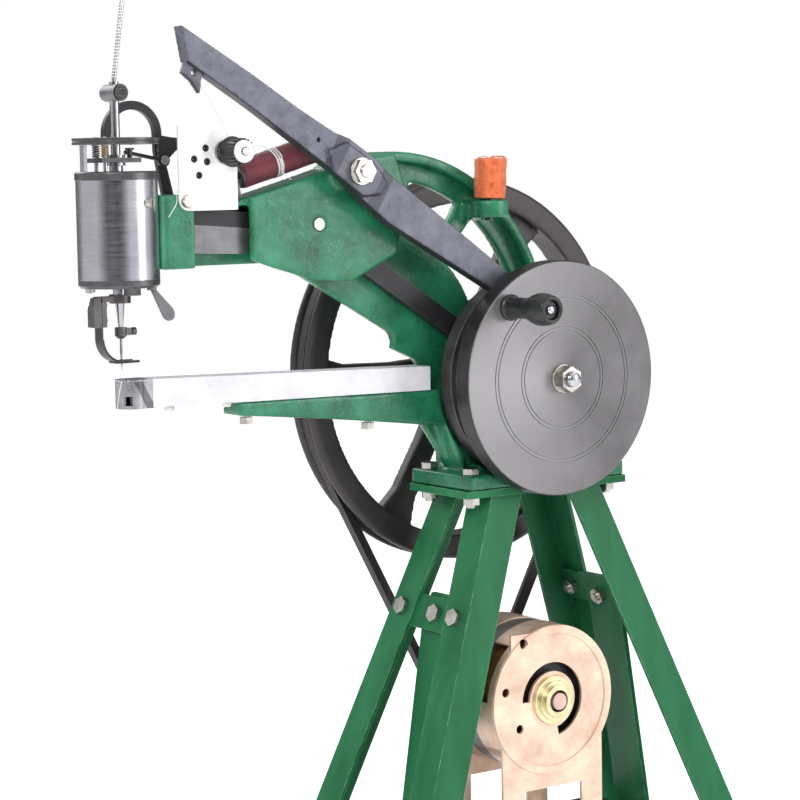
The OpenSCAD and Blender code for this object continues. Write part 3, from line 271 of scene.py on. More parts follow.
def faced_iron(name, base, metal_, stripe=6.0, sweep=0.0, rough=0.42):
    """Cast iron faced on a lathe: fine turning lines round the shaft over pores and handling marks.

    sweep is how far the side towards the head is brightened with a painted highlight."""
    s = Shader(name)
    r, a = ring_coords(s, SHAFT)
    n = s.nodes.new("ShaderNodeCombineXYZ")
    s.put(n.inputs[0], r)
    s.put(n.inputs[1], s.math("MULTIPLY", a, 3.0))
    turned = s.node("ShaderNodeTexNoise", inputs={"Vector": n.outputs[0], "Scale": stripe, "Detail": 4.0,
                                                  "Roughness": 0.7})
    cloud = s.noise(26, 5, 0.65)
    pores = s.voronoi(520)
    color = s.ramp(cloud, (0.3, scale_color(base, 0.72)), (0.72, scale_color(base, 1.28)))
    color = s.mix(s.span(turned, 0.35, 0.7, 0, 0.3), color, scale_color(base, 0.68))
    # painted highlight: the side towards the head lightened as the faced iron's reflection
    if sweep:
        color = s.mix(s.span(s.math("ABSOLUTE", a), 0.14, 0.5, 0, sweep), color, scale_color(base, 2.4))
    color = s.mix(s.span(pores, 0.05, 0.16, 0.45, 0), color, (0.05, 0.045, 0.045))
    color = s.mix(s.math("MULTIPLY", s.edge_wear_and_light(0.8), 0.5), color, (0.62, 0.62, 0.63))
    gloss = s.math("ADD", s.span(cloud, 0.3, 0.7, rough - 0.07, rough + 0.08),
                   s.span(turned, 0.3, 0.7, -0.05, 0.06))
    normal = s.bump(turned, 0.16, 0.15, s.bump(s.noise(380, 4), 0.12, 0.3))
    return s.finish(color=color, metal=metal_, rough=gloss, normal=normal)


def thread_yarn(name, dark, light, rough=0.6, sheen=0.4, metal_=0.0):
    """Twisted thread: fine pale fibres over patches of deeper colour."""
    s = Shader(name)
    fibre = s.noise(1500, 3, 0.7)
    patch = s.noise(190, 4, 0.7)
    color = s.ramp(patch, (0.3, dark), (0.7, light))
    color = s.mix(s.span(fibre, 0.52, 0.75, 0, 0.5), color, scale_color(light, 1.9, 0.02))
    return s.finish(color=color, rough=s.span(patch, 0.3, 0.7, rough - 0.1, rough + 0.1), sheen=sheen,
                    metal=metal_, normal=s.bump(fibre, 0.4, 0.15))


def moulded(name, base, rough=0.35, grain=0.12):
    """Moulded or sprayed smooth surface with faint clouding and paler edges."""
    s = Shader(name)
    cloud = s.noise(90, 4)
    color = s.ramp(cloud, (0.3, scale_color(base, 0.8)), (0.7, scale_color(base, 1.25)))
    color = s.mix(s.math("MULTIPLY", s.edge_wear_and_light(0.8), 0.3), color, scale_color(base, 2.2, 0.02))
    return s.finish(color=color, rough=s.span(s.noise(300, 4), 0.3, 0.7, rough - 0.07, rough + 0.1),
                    normal=s.bump(s.noise(900, 2), grain, 0.15))


def hand_paint(name):
    """Thick pale paint laid on with a brush over the square lower arm."""
    s = Shader(name)
    strokes = s.noise(120, 4, 0.6, stretch=(0.12, 1, 1))
    cloud = s.noise(30, 5, 0.7)
    color = s.ramp(cloud, (0.25, (0.52, 0.52, 0.56)), (0.55, (0.68, 0.68, 0.71)), (0.8, (0.82, 0.82, 0.84)))
    color = s.mix(s.span(strokes, 0.55, 0.75, 0, 0.35), color, (0.47, 0.47, 0.52))
    chips = s.math("MULTIPLY", s.edge_wear_and_light(1.0), s.span(s.noise(140, 5, 0.75), 0.45, 0.6))
    color = s.mix(chips, color, (0.22, 0.22, 0.24))
    return s.finish(color=color, rough=s.span(cloud, 0.3, 0.7, 0.3, 0.5), coat=0.2,
                    normal=s.bump(strokes, 0.3, 0.4, s.bump(s.noise(420, 3), 0.1, 0.3)))


SHAFT = Vector((0, 0, mid("crank_disc").z))
MOTOR = Vector((0, 0, mid("motor_pulley").z))

VIEW_AZIMUTH = -35
LEVER_PIVOT, LEVER_SLOPE = (-178, 0, 789), 32
PAD_SLOPES, PAD_SLOPE_HALF = (-24, 25), 5.5
TIP_X, TIP_MIDDLE_Z, TIP_SLANT = mid("needle_bar").x, 628, -28

M = dict(
    green_enamel=cast_enamel("green_enamel", (0.004, 0.075, 0.032), (0.012, 0.15, 0.07), (0.03, 0.235, 0.12)),
    stand_green=sheet_enamel("stand_green", (0.007, 0.09, 0.032), (0.022, 0.165, 0.066)),
    machined_iron=faced_iron("machined_iron", (0.14, 0.134, 0.14), 0.6, sweep=0.8),
    lever_iron=metal("lever_iron", (0.12, 0.122, 0.15), 0.4, 0.18, 0.55, scratch=0.35, blotch=0.5, scale=75,
                     edge=0.3, shade=lever_shade),
    tip_steel=metal("tip_steel", (0.34, 0.34, 0.36), 0.3, 0.14, 0.9, scratch=0.2, blotch=0.3, edge=0.3,
                    shade=tip_shade),
    dark_iron=metal("dark_iron", (0.085, 0.076, 0.078), 0.42, 0.16, 0.5, scratch=0.3, blotch=0.35, edge=0.25),
    wheel_iron=faced_iron("wheel_iron", (0.052, 0.044, 0.046), 0.5, stripe=4.0),
    brushed_steel=metal("brushed_steel", (0.5, 0.5, 0.545), 0.22, 0.05, 1.0, stretch=(0.06, 0.06, 1),
                        scratch=0.015, blotch=0.06, scale=45, lines_mix=0.06, shade=barrel_shade),
    dark_steel=metal("dark_steel", (0.11, 0.105, 0.11), 0.33, 0.14, 0.8, scratch=0.2, blotch=0.35, edge=0.3),
    polished_steel=metal("polished_steel", (0.5, 0.5, 0.53), 0.17, 0.1, 1.0, blotch=0.15, edge=0.2),
    dull_steel=metal("dull_steel", (0.19, 0.19, 0.2), 0.42, 0.15, 0.8, blotch=0.3, scratch=0.3, edge=0.1),
    rim_iron=metal("rim_iron", (0.045, 0.042, 0.044), 0.4, 0.15, 0.6, blotch=0.35, scratch=0.25, edge=0.3),
    pale_pink=metal("pale_pink", (0.62, 0.42, 0.38), 0.35, 0.1, 0.6, blotch=0.15),
    zinc_steel=metal("zinc_steel", (0.48, 0.46, 0.41), 0.27, 0.12, 1.0, blotch=0.25, tint=(0.56, 0.54, 0.5),
                     edge=0.3),
    black_steel=metal("black_steel", (0.022, 0.022, 0.025), 0.38, 0.15, 0.35, scratch=0.25, blotch=0.3,
                      edge=0.2),
    arm_paint=hand_paint("arm_paint"),
    # nickel_plate: painted shade, its edges darkened into a dark outline
    nickel_plate=metal("nickel_plate", (0.68, 0.68, 0.7), 0.24, 0.1, 0.9, blotch=0.1, scratch=0.08,
                       shade=lambda s: s.math("MULTIPLY", s.edge_wear_and_light(1.3), 0.9)),
    bronze=metal("bronze", (0.48, 0.30, 0.12), 0.35, 0.1, 1.0),
    brass=metal("brass", (0.62, 0.42, 0.15), 0.3, 0.1, 1.0),
    black_plastic=moulded("black_plastic", (0.012, 0.012, 0.0135), 0.33),
    white_cap=moulded("white_cap", (0.72, 0.72, 0.71), 0.4, 0.05),
    white_enamel=moulded("white_enamel", (0.83, 0.83, 0.82), 0.3, 0.05),
    wine_thread=thread_yarn("wine_thread", (0.085, 0.006, 0.014), (0.2, 0.022, 0.04)),
    copper_thread=thread_yarn("copper_thread", (0.55, 0.1, 0.03), (0.85, 0.25, 0.10), 0.38, 0.1, 0.35),
    copper_shell=metal("copper_shell", (0.72, 0.50, 0.38), 0.36, 0.12, 0.55, blotch=0.16, scratch=0.12,
                       scale=40, tint=(0.85, 0.62, 0.48)),
    motor_iron=metal("motor_iron", (0.22, 0.21, 0.2), 0.45, 0.1, 0.8, stretch=(0.05, 1, 0.05), scratch=0.4),
    boss_zinc=metal("boss_zinc", (0.62, 0.55, 0.30), 0.3, 0.12, 0.9, tint=(0.78, 0.72, 0.48), blotch=0.15),
    winding=thread_yarn("winding", (0.28, 0.09, 0.02), (0.62, 0.25, 0.07), 0.35, 0.0, 0.5),
    belt_rubber=moulded("belt_rubber", (0.016, 0.015, 0.016), 0.6, 0.4),
    white_thread=thread_yarn("white_thread", (0.62, 0.62, 0.62), (0.8, 0.8, 0.8), 0.7, 0.5),
)

NODE_MATERIAL = dict(
    main_casting="green_enamel", stand_top="stand_green", leg_front_left="stand_green",
    leg_rear_left="stand_green", leg_front_right="stand_green", leg_rear_right="stand_green",
    crossbar_left="stand_green", crossbar_right="stand_green", shelf_hangers="stand_green",
    motor_shelf="black_steel", stand_bolts="zinc_steel", lower_arm="arm_paint", arm_tip="tip_steel",
    needle_plate="polished_steel", small_screws="zinc_steel", main_shaft="polished_steel",
    shaft_bushes="bronze", cam_drum="dark_iron", flywheel="wheel_iron",
    shaft_nuts="zinc_steel", crank_grip="black_plastic",
    take_up_lever="lever_iron", take_up_roller="polished_steel", lever_pins="zinc_steel",
    needle_lever_roller="polished_steel", head_barrel="brushed_steel",
    barrel_top_ring="dark_steel", top_plate="dark_steel", guide_posts="polished_steel",
    bridge_strap="black_steel", lift_arm="dark_steel", presser_springs="dark_steel",
    presser_lifter="black_steel", turret="dark_steel",
    presser_tube="polished_steel", presser_foot="black_steel",
    needle_bar="polished_steel", thread_tube="polished_steel",
    needle_clamp="dark_steel", needle="polished_steel", tension_plate="white_enamel",
    tension_stem="polished_steel", spool_spindles="dark_steel",
    thread_spool="wine_thread", spare_bobbin="copper_thread",
    rack_bar="dark_steel", motor_front_shell="copper_shell", motor_rear_shell="copper_shell",
    motor_pulley="dark_iron", drive_belt="belt_rubber",
)

# ---------------------------------------------------------------- carried-over CAD nodes


def dress(node, material, *extra):
    mesh = NODES[node].data
    mesh.materials.clear()
    for m in (material,) + extra:
        mesh.materials.append(M[m])
    for name in ("custom_normal", "sharp_edge", "sharp_face"):
        if name in mesh.attributes:
            mesh.attributes.remove(mesh.attributes[name])
    for p in mesh.polygons:
        p.use_smooth = True
        p.material_index = 0


def dress_two(node, main, *parts):
    """Dresses a node of several metals: parts pair a material with a test of a face's centre in millimetres."""
    dress(node, main, *(material for material, _ in parts))
    for index, (_, test) in enumerate(parts, 1):
        for p in NODES[node].data.polygons:
            if test(p.center / MM):
                p.material_index = index


def from_axis(c, axis):
    """Distance of a point from the line along Y through axis."""
    return math.hypot(c.x - axis.x, c.z - axis.z)


def round_edges(node, width, segments=2, angle=33):
    """Merges the tessellated mesh's seams and rounds its real edges."""
    o = NODES[node]
    weld = o.modifiers.new("weld", "WELD")
    weld.merge_threshold = 2e-6
    flat = o.modifiers.new("flat", "DECIMATE")
    flat.decimate_type = "DISSOLVE"
    flat.angle_limit = math.radians(0.6)
    flat.delimit = {"MATERIAL"}
    bevel = o.modifiers.new("bevel", "BEVEL")
    bevel.width = width * MM
    bevel.segments = segments
    bevel.limit_method = "ANGLE"
    bevel.angle_limit = math.radians(angle)
    bevel.use_clamp_overlap = True
    bevel.harden_normals = True
    bevel.miter_outer = "MITER_ARC"


def cast_surface(node, voxel, passes, factor=0.5):
    """Rounds a casting inside and out, as a sand mould does."""
    o = NODES[node]
    remesh = o.modifiers.new("voxels", "REMESH")
    remesh.mode = "VOXEL"
    remesh.voxel_size = voxel * MM
    remesh.use_smooth_shade = True
    smooth = o.modifiers.new("smooth", "SMOOTH")
    smooth.factor = factor
    smooth.iterations = passes


CAST = dict(main_casting=(1.5, 4), take_up_lever=(0.9, 4), flywheel=(1.8, 4))
EDGE = dict(crank_disc=0.6, cam_drum=0.8, stand_top=0.8, motor_shelf=0.5, lower_arm=1.1, arm_tip=0.5,
            head_barrel=0.3, barrel_top_ring=0.5, turret=0.5, top_plate=0.4, bridge_strap=0.5, lift_arm=0.4,
            presser_lifter=0.6, turning_wings=0.5, foot_clamp=0.5, presser_foot=0.25, cross_block=0.7,
            needle_clamp=1.0, tension_plate=0.3, motor_front_shell=0.8, motor_rear_shell=0.8, motor_core=0.5,
            small_screws=0.25, shaft_nuts=0.6, lever_pins=0.5, stand_bolts=0.5, shelf_hangers=0.6,
            crossbar_left=0.6, crossbar_right=0.6, needle_lever=0.8, motor_pulley=0.6, drive_belt=0.5,
            spool_spindles=0.3, guide_posts=0.2, grip_spindle=0.3, main_shaft=0.5, needle_plate=0.2)
for leg in ("leg_front_left", "leg_rear_left", "leg_front_right", "leg_rear_right"):
    EDGE[leg] = 0.7
for node, material in NODE_MATERIAL.items():
    dress(node, material)

# Nodes made of more than one metal
axis_x = mid("needle_bar").x
disc_rim = hi("crank_disc").x - 0.8
spindle_end = -110
knob_cap = lo("tension_knob").y + 2.05
clamp_screws_x, clamp_screws_z = axis_x - 13.8, lo("foot_clamp").z + 19
block_screw = -10.1
shuttle_x, shuttle_floor, bobbin_r = axis_x + 7.5, 627.9, 4.3
plate_x, plate_top = (-311, -230), 752
boss_r, coil_r, coil_middle, coil_from = 21, (38, 55), -4, 12
rotor_end = -45
dress_two("crank_disc", "machined_iron", ("rim_iron", lambda c: from_axis(c, SHAFT) > disc_rim))
dress_two("grip_spindle", "zinc_steel", ("rim_iron", lambda c: c.y < spindle_end))
dress_two("tension_knob", "black_plastic", ("white_cap", lambda c: c.y < knob_cap))
dress_two("turning_wings", "nickel_plate", ("dull_steel", lambda c: c.x > axis_x))
dress_two("foot_clamp", "dark_steel",
          ("brass", lambda c: c.x > clamp_screws_x and c.z < clamp_screws_z and abs(c.y) < 5))
dress_two("cross_block", "dull_steel", ("rim_iron", lambda c: c.y < block_screw))
dress_two("shuttle", "polished_steel",
          ("white_thread", lambda c: c.z > shuttle_floor and math.hypot(c.x - shuttle_x, c.y) < bobbin_r))
dress_two("needle_lever", "black_steel",
          ("dull_steel", lambda c: plate_x[0] < c.x < plate_x[1] and c.z < plate_top))
dress_two("motor_core", "motor_iron", ("boss_zinc", lambda c: from_axis(c, MOTOR) < boss_r),
          ("winding", lambda c: (coil_r[0] < from_axis(c, MOTOR) < coil_r[1]
                                 and abs(c.y - coil_middle) > coil_from)))
dress_two("motor_rotor", "rim_iron", ("pale_pink", lambda c: c.y < rotor_end))

for node, (voxel, passes) in CAST.items():
    cast_surface(node, voxel, passes)
for node in NODES:
    if node not in CAST:
        round_edges(node, EDGE.get(node, 0.2))

# ---------------------------------------------------------------- mesh building


def add(name, verts, faces, material, body, slot=None):
    """A smooth-shaded piece that rides body; slot, the library material it would count as, is not used."""
    mesh = bpy.data.meshes.new(name)
    mesh.from_pydata([tuple(v) for v in verts], [], faces)
    mesh.validate()
    mesh.polygons.foreach_set("use_smooth", [True] * len(mesh.polygons))
    mesh.materials.append(M[material])
    o = bpy.data.objects.new(name, mesh)
    bpy.context.scene.collection.objects.link(o)
    if body:
        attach(o, body)
    return o


def basis(axis):
    """Rotation that takes Z to the given axis."""
    return Z.rotation_difference(Vector(axis).normalized()).to_matrix()


def skin(rings, segments, closed=False):
    """Faces over rings of points: closed joins the last ring to the first, else both ends get a cap."""
    faces = []
    for j in range(rings if closed else rings - 1):
        k = (j + 1) % rings
        for i in range(segments):
            i2 = (i + 1) % segments
            faces.append((j * segments + i, j * segments + i2, k * segments + i2, k * segments + i))
    if not closed:
        faces.append(tuple(reversed(range(segments))))
        faces.append(tuple((rings - 1) * segments + i for i in range(segments)))
    return faces


def round_point(r, a, d):
    """A point at radius r and angle a round Z, at distance d along it."""
    return Vector((r * math.cos(a), r * math.sin(a), d))


def lathe_mesh(profile, origin, axis, segments, closed=False):
    """Vertices and faces of a profile of (radius, distance along the axis), in millimetres, turned about it."""
    r3 = basis(axis)
    origin = Vector(origin)
    verts = []
    for r, d in profile:
        for i in range(segments):
            verts.append((origin + r3 @ round_point(r, 2 * math.pi * i / segments, d)) * MM)
    return verts, skin(len(profile), segments, closed)


def tube_mesh(points, radius, sides, closed=False):
    """A round wire through points, in millimetres."""
    pts = [Vector(p) for p in points]
    n = len(pts)
    verts = []
    last = None
    normal = None
    for i, p in enumerate(pts):
        if closed:
            t = (pts[(i + 1) % n] - pts[i - 1]).normalized()
        else:
            t = (pts[min(i + 1, n - 1)] - pts[max(i - 1, 0)]).normalized()
        if normal is None:
            normal = t.orthogonal().normalized()
        else:
            normal = (last.rotation_difference(t) @ normal)
            normal = (normal - t * normal.dot(t)).normalized()
        last = t
        side = t.cross(normal)
        for k in range(sides):
            a = 2 * math.pi * k / sides
            verts.append((p + (normal * math.cos(a) + side * math.sin(a)) * radius) * MM)
    return verts, skin(n, sides, closed)


def join(*parts):
    """Several (vertices, faces) as one."""
    verts, faces = [], []
    for v, f in parts:
        base = len(verts)
        verts += v
        faces += [tuple(base + i for i in face) for face in f]
    return verts, faces


def smooth_line(points, steps=10):
    """Catmull-Rom curve through points."""
    p = [Vector(q) for q in points]
    p = [p[0] * 2 - p[1]] + p + [p[-1] * 2 - p[-2]]
    out = []
    for i in range(1, len(p) - 2):
        a, b, c, d = p[i - 1:i + 3]
        for s in range(steps):
            t = s / steps
            out.append(0.5 * ((2 * b) + (c - a) * t + (2 * a - 5 * b + 4 * c - d) * t * t
                              + (3 * b - a - 3 * c + d) * t ** 3))
    out.append(p[-2])
    return out


def helix(centre, axis, radius, pitch, turns, steps, start=0.0):
    r3 = basis(axis)
    centre = Vector(centre)
    out = []
    for i in range(int(turns * steps) + 1):
        out.append(centre + r3 @ round_point(radius, 2 * math.pi * i / steps + start, pitch * i / steps))
    return out


def threaded(origin, axis, radius, pitch, length):
    """Screw thread that stands on a plain stud and fades out at both ends."""
    seg, per = 36, 6
    rows = int(length / pitch * per)
    r3 = basis(axis)
    origin = Vector(origin)
    verts = []
    for j in range(rows + 1):
        d = length * j / rows
        for i in range(seg):
            a = i / seg
            f = (d / pitch - a) % 1.0
            crest = 1 - abs(2 * f - 1)
            fade = min(1, j / per, (rows - j) / per)
            r = radius - 0.5 + (0.62 * pitch * crest * 0.6 + 0.45) * (0.35 + 0.65 * fade)
            verts.append((origin + r3 @ round_point(r, 2 * math.pi * a, d)) * MM)
    return verts, skin(rows + 1, seg)


# ---------------------------------------------------------------- wound spools


def wound(name, start, axis, length, r_core, r_full, strand, lay, body, material, node, uneven, seed,
          taper=3.0):
    """Thread wound on a core in place of node: ridges of crossing strands, with soft shoulders at both ends."""
    rng = random.Random(seed)
    seg = 120
    rows = int(length / strand * 5)
    r3 = basis(axis)
    start = Vector(start)
    waves = [(rng.uniform(0.5, 3), rng.uniform(0, 6.28), rng.uniform(0.4, 1.0)) for _ in range(5)]
    verts = []
    for j in range(rows + 1):
        d = length * j / rows
        edge = min(d, length - d) / taper
        shoulder = 1 if edge >= 1 else math.sin(edge * math.pi / 2) ** 0.55
        sag = sum(w * math.sin(k * 2 * math.pi * d / length + ph) for k, ph, w in waves) / 5
        for i in range(seg):
            a = 2 * math.pi * i / seg
            one = math.cos(2 * math.pi * d / strand + a * lay)
            two = math.cos(2 * math.pi * (d + 0.37 * strand) / strand - a * lay)
            ridge = max(one, two * 0.9) if lay > 1 else one
            r = r_core + (r_full - r_core - strand * 0.35) * shoulder + strand * 0.3 * ridge * shoulder
            r += uneven * (sag + 0.4 * math.sin(2 * a + d * 0.3)) * shoulder
            verts.append((start + r3 @ round_point(r, a, d)) * MM)
    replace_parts(add(name, verts, skin(rows + 1, seg), material, body), node)


SPOOL_AT, SPOOL_TILT, SPOOL_LEN = Vector((-264, 2, 787)), math.radians(16), 74.0
spool_axis = Vector((math.cos(SPOOL_TILT), 0, math.sin(SPOOL_TILT)))
wound("wine_winding", SPOOL_AT + spool_axis * 1.0, spool_axis, SPOOL_LEN - 2, 7.5, 10.9, 0.85, 2,
      "wound_spool", "wine_thread", "thread_spool", 0.16, 3)
END_T = 1.2
end_profile = [(2.6, 0.0), (9.6, 0.0), (9.9, 0.4), (9.9, 0.9), (9.6, END_T), (2.6, END_T)]
add("wine_spool_ends", *join(*[lathe_mesh(end_profile, SPOOL_AT + spool_axis * d, spool_axis, 48, closed=True)
                               for d in (0, SPOOL_LEN - END_T)]),
    "dark_steel", "wound_spool", "wine_thread")
tie = SPOOL_AT + spool_axis * 31
tie_turns = [tube_mesh(helix(tie + spool_axis * k, spool_axis, 11.15, 0.8, 2.0, 40, k), 0.34, 6)
             for k in (0, 2.6, 4.4)]
tie_ends = [tube_mesh(smooth_line([tie + Vector(v) for v in line]), r, 6)
            for r, line in ((0.33, ((1, -11, 3), (-6, -13.5, 9), (-15, -16, 13), (-24, -22, 14))),
                            (0.3, ((3, -11, -3), (5, -13, -8), (10, -14, -12))))]
add("tie_thread", *join(*tie_turns, *tie_ends), "white_thread", "wound_spool", "wine_thread")

BOBBIN_AT, BOBBIN_TILT = Vector((-41, -20, 764)), math.radians(3)
bobbin_axis = Vector((math.sin(BOBBIN_TILT), 0, math.cos(BOBBIN_TILT)))
BOBBIN_FROM, BOBBIN_WOUND = 0.9, 32.6
wound("copper_winding", BOBBIN_AT + bobbin_axis * BOBBIN_FROM, bobbin_axis, BOBBIN_WOUND, 9.0, 13.1, 0.7, 1,
      "bobbin_stand", "copper_thread", "spare_bobbin", 0.45, 11, taper=1.6)
loose = random.Random(5)
strands = []
bobbin_top = BOBBIN_AT + bobbin_axis * (BOBBIN_FROM + BOBBIN_WOUND)
for k in range(7):
    a0, sweep = loose.uniform(0, 6.28), loose.uniform(0.8, 2.0)
    path = ((0, 12.9, -2.2), (0.25, 12.4, 0.4 + loose.uniform(0, 0.6)), (0.6, 10.4, 0.9 + loose.uniform(0, 0.9)),
            (0.85, 11.8, 0.5), (1, 13.1, -1.6))
    strands.append(tube_mesh(smooth_line([bobbin_top + round_point(r, a0 + sweep * t, z) for t, r, z in path], 8),
                             0.3, 6))
add("bobbin_loose_ends", *join(*strands), "copper_thread", "bobbin_stand")

# ---------------------------------------------------------------- springs

z_low = lo("lift_arm").z + 3.4
z_high = lo("top_plate").z
pin_x = axis_x - 12
spring = add("lift_springs", *join(*[
    tube_mesh(helix((pin_x, y, z_low + 0.5), Z, r, (z_high - z_low - 1.0) / turns, turns, 24), wire, 8)
    for y, r, turns, wire in ((8, 2.55, 5.5, 0.5), (-6, 2.5, 7.5, 0.42))]),
    "dark_steel", None)
spring.data.materials.append(M["brass"])
for p in spring.data.polygons:
    if p.center.y < 1 * MM:
        p.material_index = 1
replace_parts(spring, "presser_springs")
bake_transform(spring)

# ---------------------------------------------------------------- crank grip

GRIP = Vector((mid("grip_spindle").x, lo("crank_disc").y, mid("grip_spindle").z))
OUT = (0, -1, 0)


def soft_profile(points, steps=6):
    """Rounds a profile of (radius, distance) with a Catmull-Rom curve."""
    return [(q.x, q.y) for q in smooth_line([(r, d, 0) for r, d in points], steps)]


grip_outside = soft_profile([(5.3, 4.0), (9.9, 4.1), (10.5, 5.2), (10.4, 7.2), (9.2, 8.6), (8.7, 11), (8.5, 17),
                             (8.3, 24), (8.6, 28), (9.9, 33), (11.9, 39), (12.8, 44), (12.5, 50), (11.6, 54.5),
                             (10.6, 57.2), (9.2, 57.9), (7.7, 57.3), (7.5, 55), (7.5, 51.6), (5.3, 51.5)])
grip = add("grip_handle", *lathe_mesh(grip_outside, GRIP, OUT, 72, closed=True), "black_plastic", "grip")
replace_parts(grip, "crank_grip")
screw_head = soft_profile([(0.6, 57.4), (2.0, 57.2), (3.2, 56.4), (3.7, 55.2), (3.8, 54.6)])
add("grip_screw_head", *lathe_mesh(screw_head, GRIP, OUT, 32), "polished_steel", "rotor")

# ---------------------------------------------------------------- screw threads and domed ends

STUD_END = lo("main_shaft").y
add("crank_stud_thread", *threaded((0, STUD_END + 0.2, SHAFT.z), (0, 1, 0), 5.9, 1.5, 3.4),
    "polished_steel", "rotor", "zinc_steel")
stud_dome = soft_profile([(0.5, 1.9), (2.4, 1.6), (4.2, 0.9), (5.4, 0.1), (5.8, -0.5)])
add("crank_stud_dome", *lathe_mesh(stud_dome, (0, STUD_END, SHAFT.z), OUT, 40), "polished_steel", "rotor")

# ---------------------------------------------------------------- motor coil

COIL_TURNS = 9
bundles = []
for k in range(COIL_TURNS):
    r_coil = 49.5 + 1.5 * (k % 3)
    y_coil = -33.5 + 2.6 * (k // 3)
    bundles.append(tube_mesh([(MOTOR.x + r_coil * math.cos(a), y_coil + 0.5 * math.sin(9 * a + k),
                               MOTOR.z + r_coil * math.sin(a))
                              for a in [math.radians(112 + 4 * i) for i in range(22)]], 1.15, 8))
band_turn = [2 * math.pi * i / 24 for i in range(24)]
band_at = [(51 + 5.4 * math.cos(t), -30.5 + 6.0 * math.sin(t)) for t in band_turn]
for a in (math.radians(v) for v in (126, 142, 158, 172)):
    tie_band = [(MOTOR.x + r * math.cos(a), y, MOTOR.z + r * math.sin(a)) for r, y in band_at]
    bundles.append(tube_mesh(tie_band, 0.7, 6, closed=True))
add("motor_windings", *join(*bundles), "winding", "machine_frame", "motor_iron")

# ---------------------------------------------------------------- eyelets in the tension plate

EYELETS = ((-302, 808), (-312, 800), (-301, 798), (-308, 788))
plate_front = lo("tension_plate").y
add("plate_eyelets", *join(*[
    lathe_mesh([(0.3, 1.5), (1.5, 1.5), (1.55, -0.15), (1.9, -0.45), (2.5, -0.45), (2.75, -0.2), (2.75, -0.05),
                (2.38, -0.03), (2.36, 1.9), (0.3, 1.9)], (x, plate_front, z), (0, 1, 0), 32, closed=True)
    for x, z in EYELETS]), "black_steel", "machine_frame")

# ---------------------------------------------------------------- sewing thread


def thread(name, points, body, to=None, radius=0.32):
    """A thread through points in millimetres, riding one body or stretched from one to another."""
    line = tube_mesh(smooth_line(points), radius, 6)
    o = add(name, *line, "white_thread", None if to else body, "wine_thread")
    if to:
        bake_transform(o)


hook = Vector((-317, -29.5, 861))
knob_at = Vector((-286, -24, 811))
thread("thread_to_hook", [knob_at, (-290, -24.5, 824), (-303, -27, 842), hook], "machine_frame",
       to="take_up")
thread("thread_guide_line", [(-316.5, -16.2, 805), (-322, -17, 788), (-330, -22, 776), (-337, -33, 768),
                             (-343, -31.5, 758)], "machine_frame")
tube_low = Vector((mid("cross_block").x, 0, hi("cross_block").z + 2.2))
tube_lean = math.radians(8.5)
tube_axis = Vector((math.sin(tube_lean), 0, math.cos(tube_lean)))
add("tube_thread", *tube_mesh(helix(tube_low + tube_axis * 1.5, tube_axis, 1.95, 2.3, 37, 16), 0.42, 6),
    "white_thread", "needle_group", "wine_thread")
needle_x = mid("needle").x
tail_top = hi("needle_plate").z
thread("thread_tail", [(needle_x - 3.4, -5.6, tail_top - 1.6), (needle_x - 5, -8, tail_top - 1.3),
                       (needle_x - 11, -14, tail_top - 12), (needle_x - 15, -17, tail_top - 26),
                       (needle_x - 22, -20, tail_top - 34), (needle_x - 27, -24, tail_top - 44)],
       "machine_frame", radius=0.28)

# ---------------------------------------------------------------- stage, light and camera


def stage_floor():
    """Pale paper floor that glows a little, so that it ends white."""
    mesh = bpy.data.meshes.new("floor")
    s = 7.0
    mesh.from_pydata([(-s, -s, 0), (s, -s, 0), (s, s, 0), (-s, s, 0)], [], [(0, 1, 2, 3)])
    floor = bpy.data.objects.new("floor", mesh)
    bpy.context.scene.collection.objects.link(floor)
    sh = Shader("floor_paper")
    sh.put(sh.bsdf.inputs["Emission Color"], (1, 1, 1))
    sh.put(sh.bsdf.inputs["Emission Strength"], 0.42)
    paper = sh.ramp(sh.noise(3, 2), (0.3, 0.88), (0.7, 0.92))
    mesh.materials.append(sh.finish(color=paper, rough=0.9, spec=0.1))


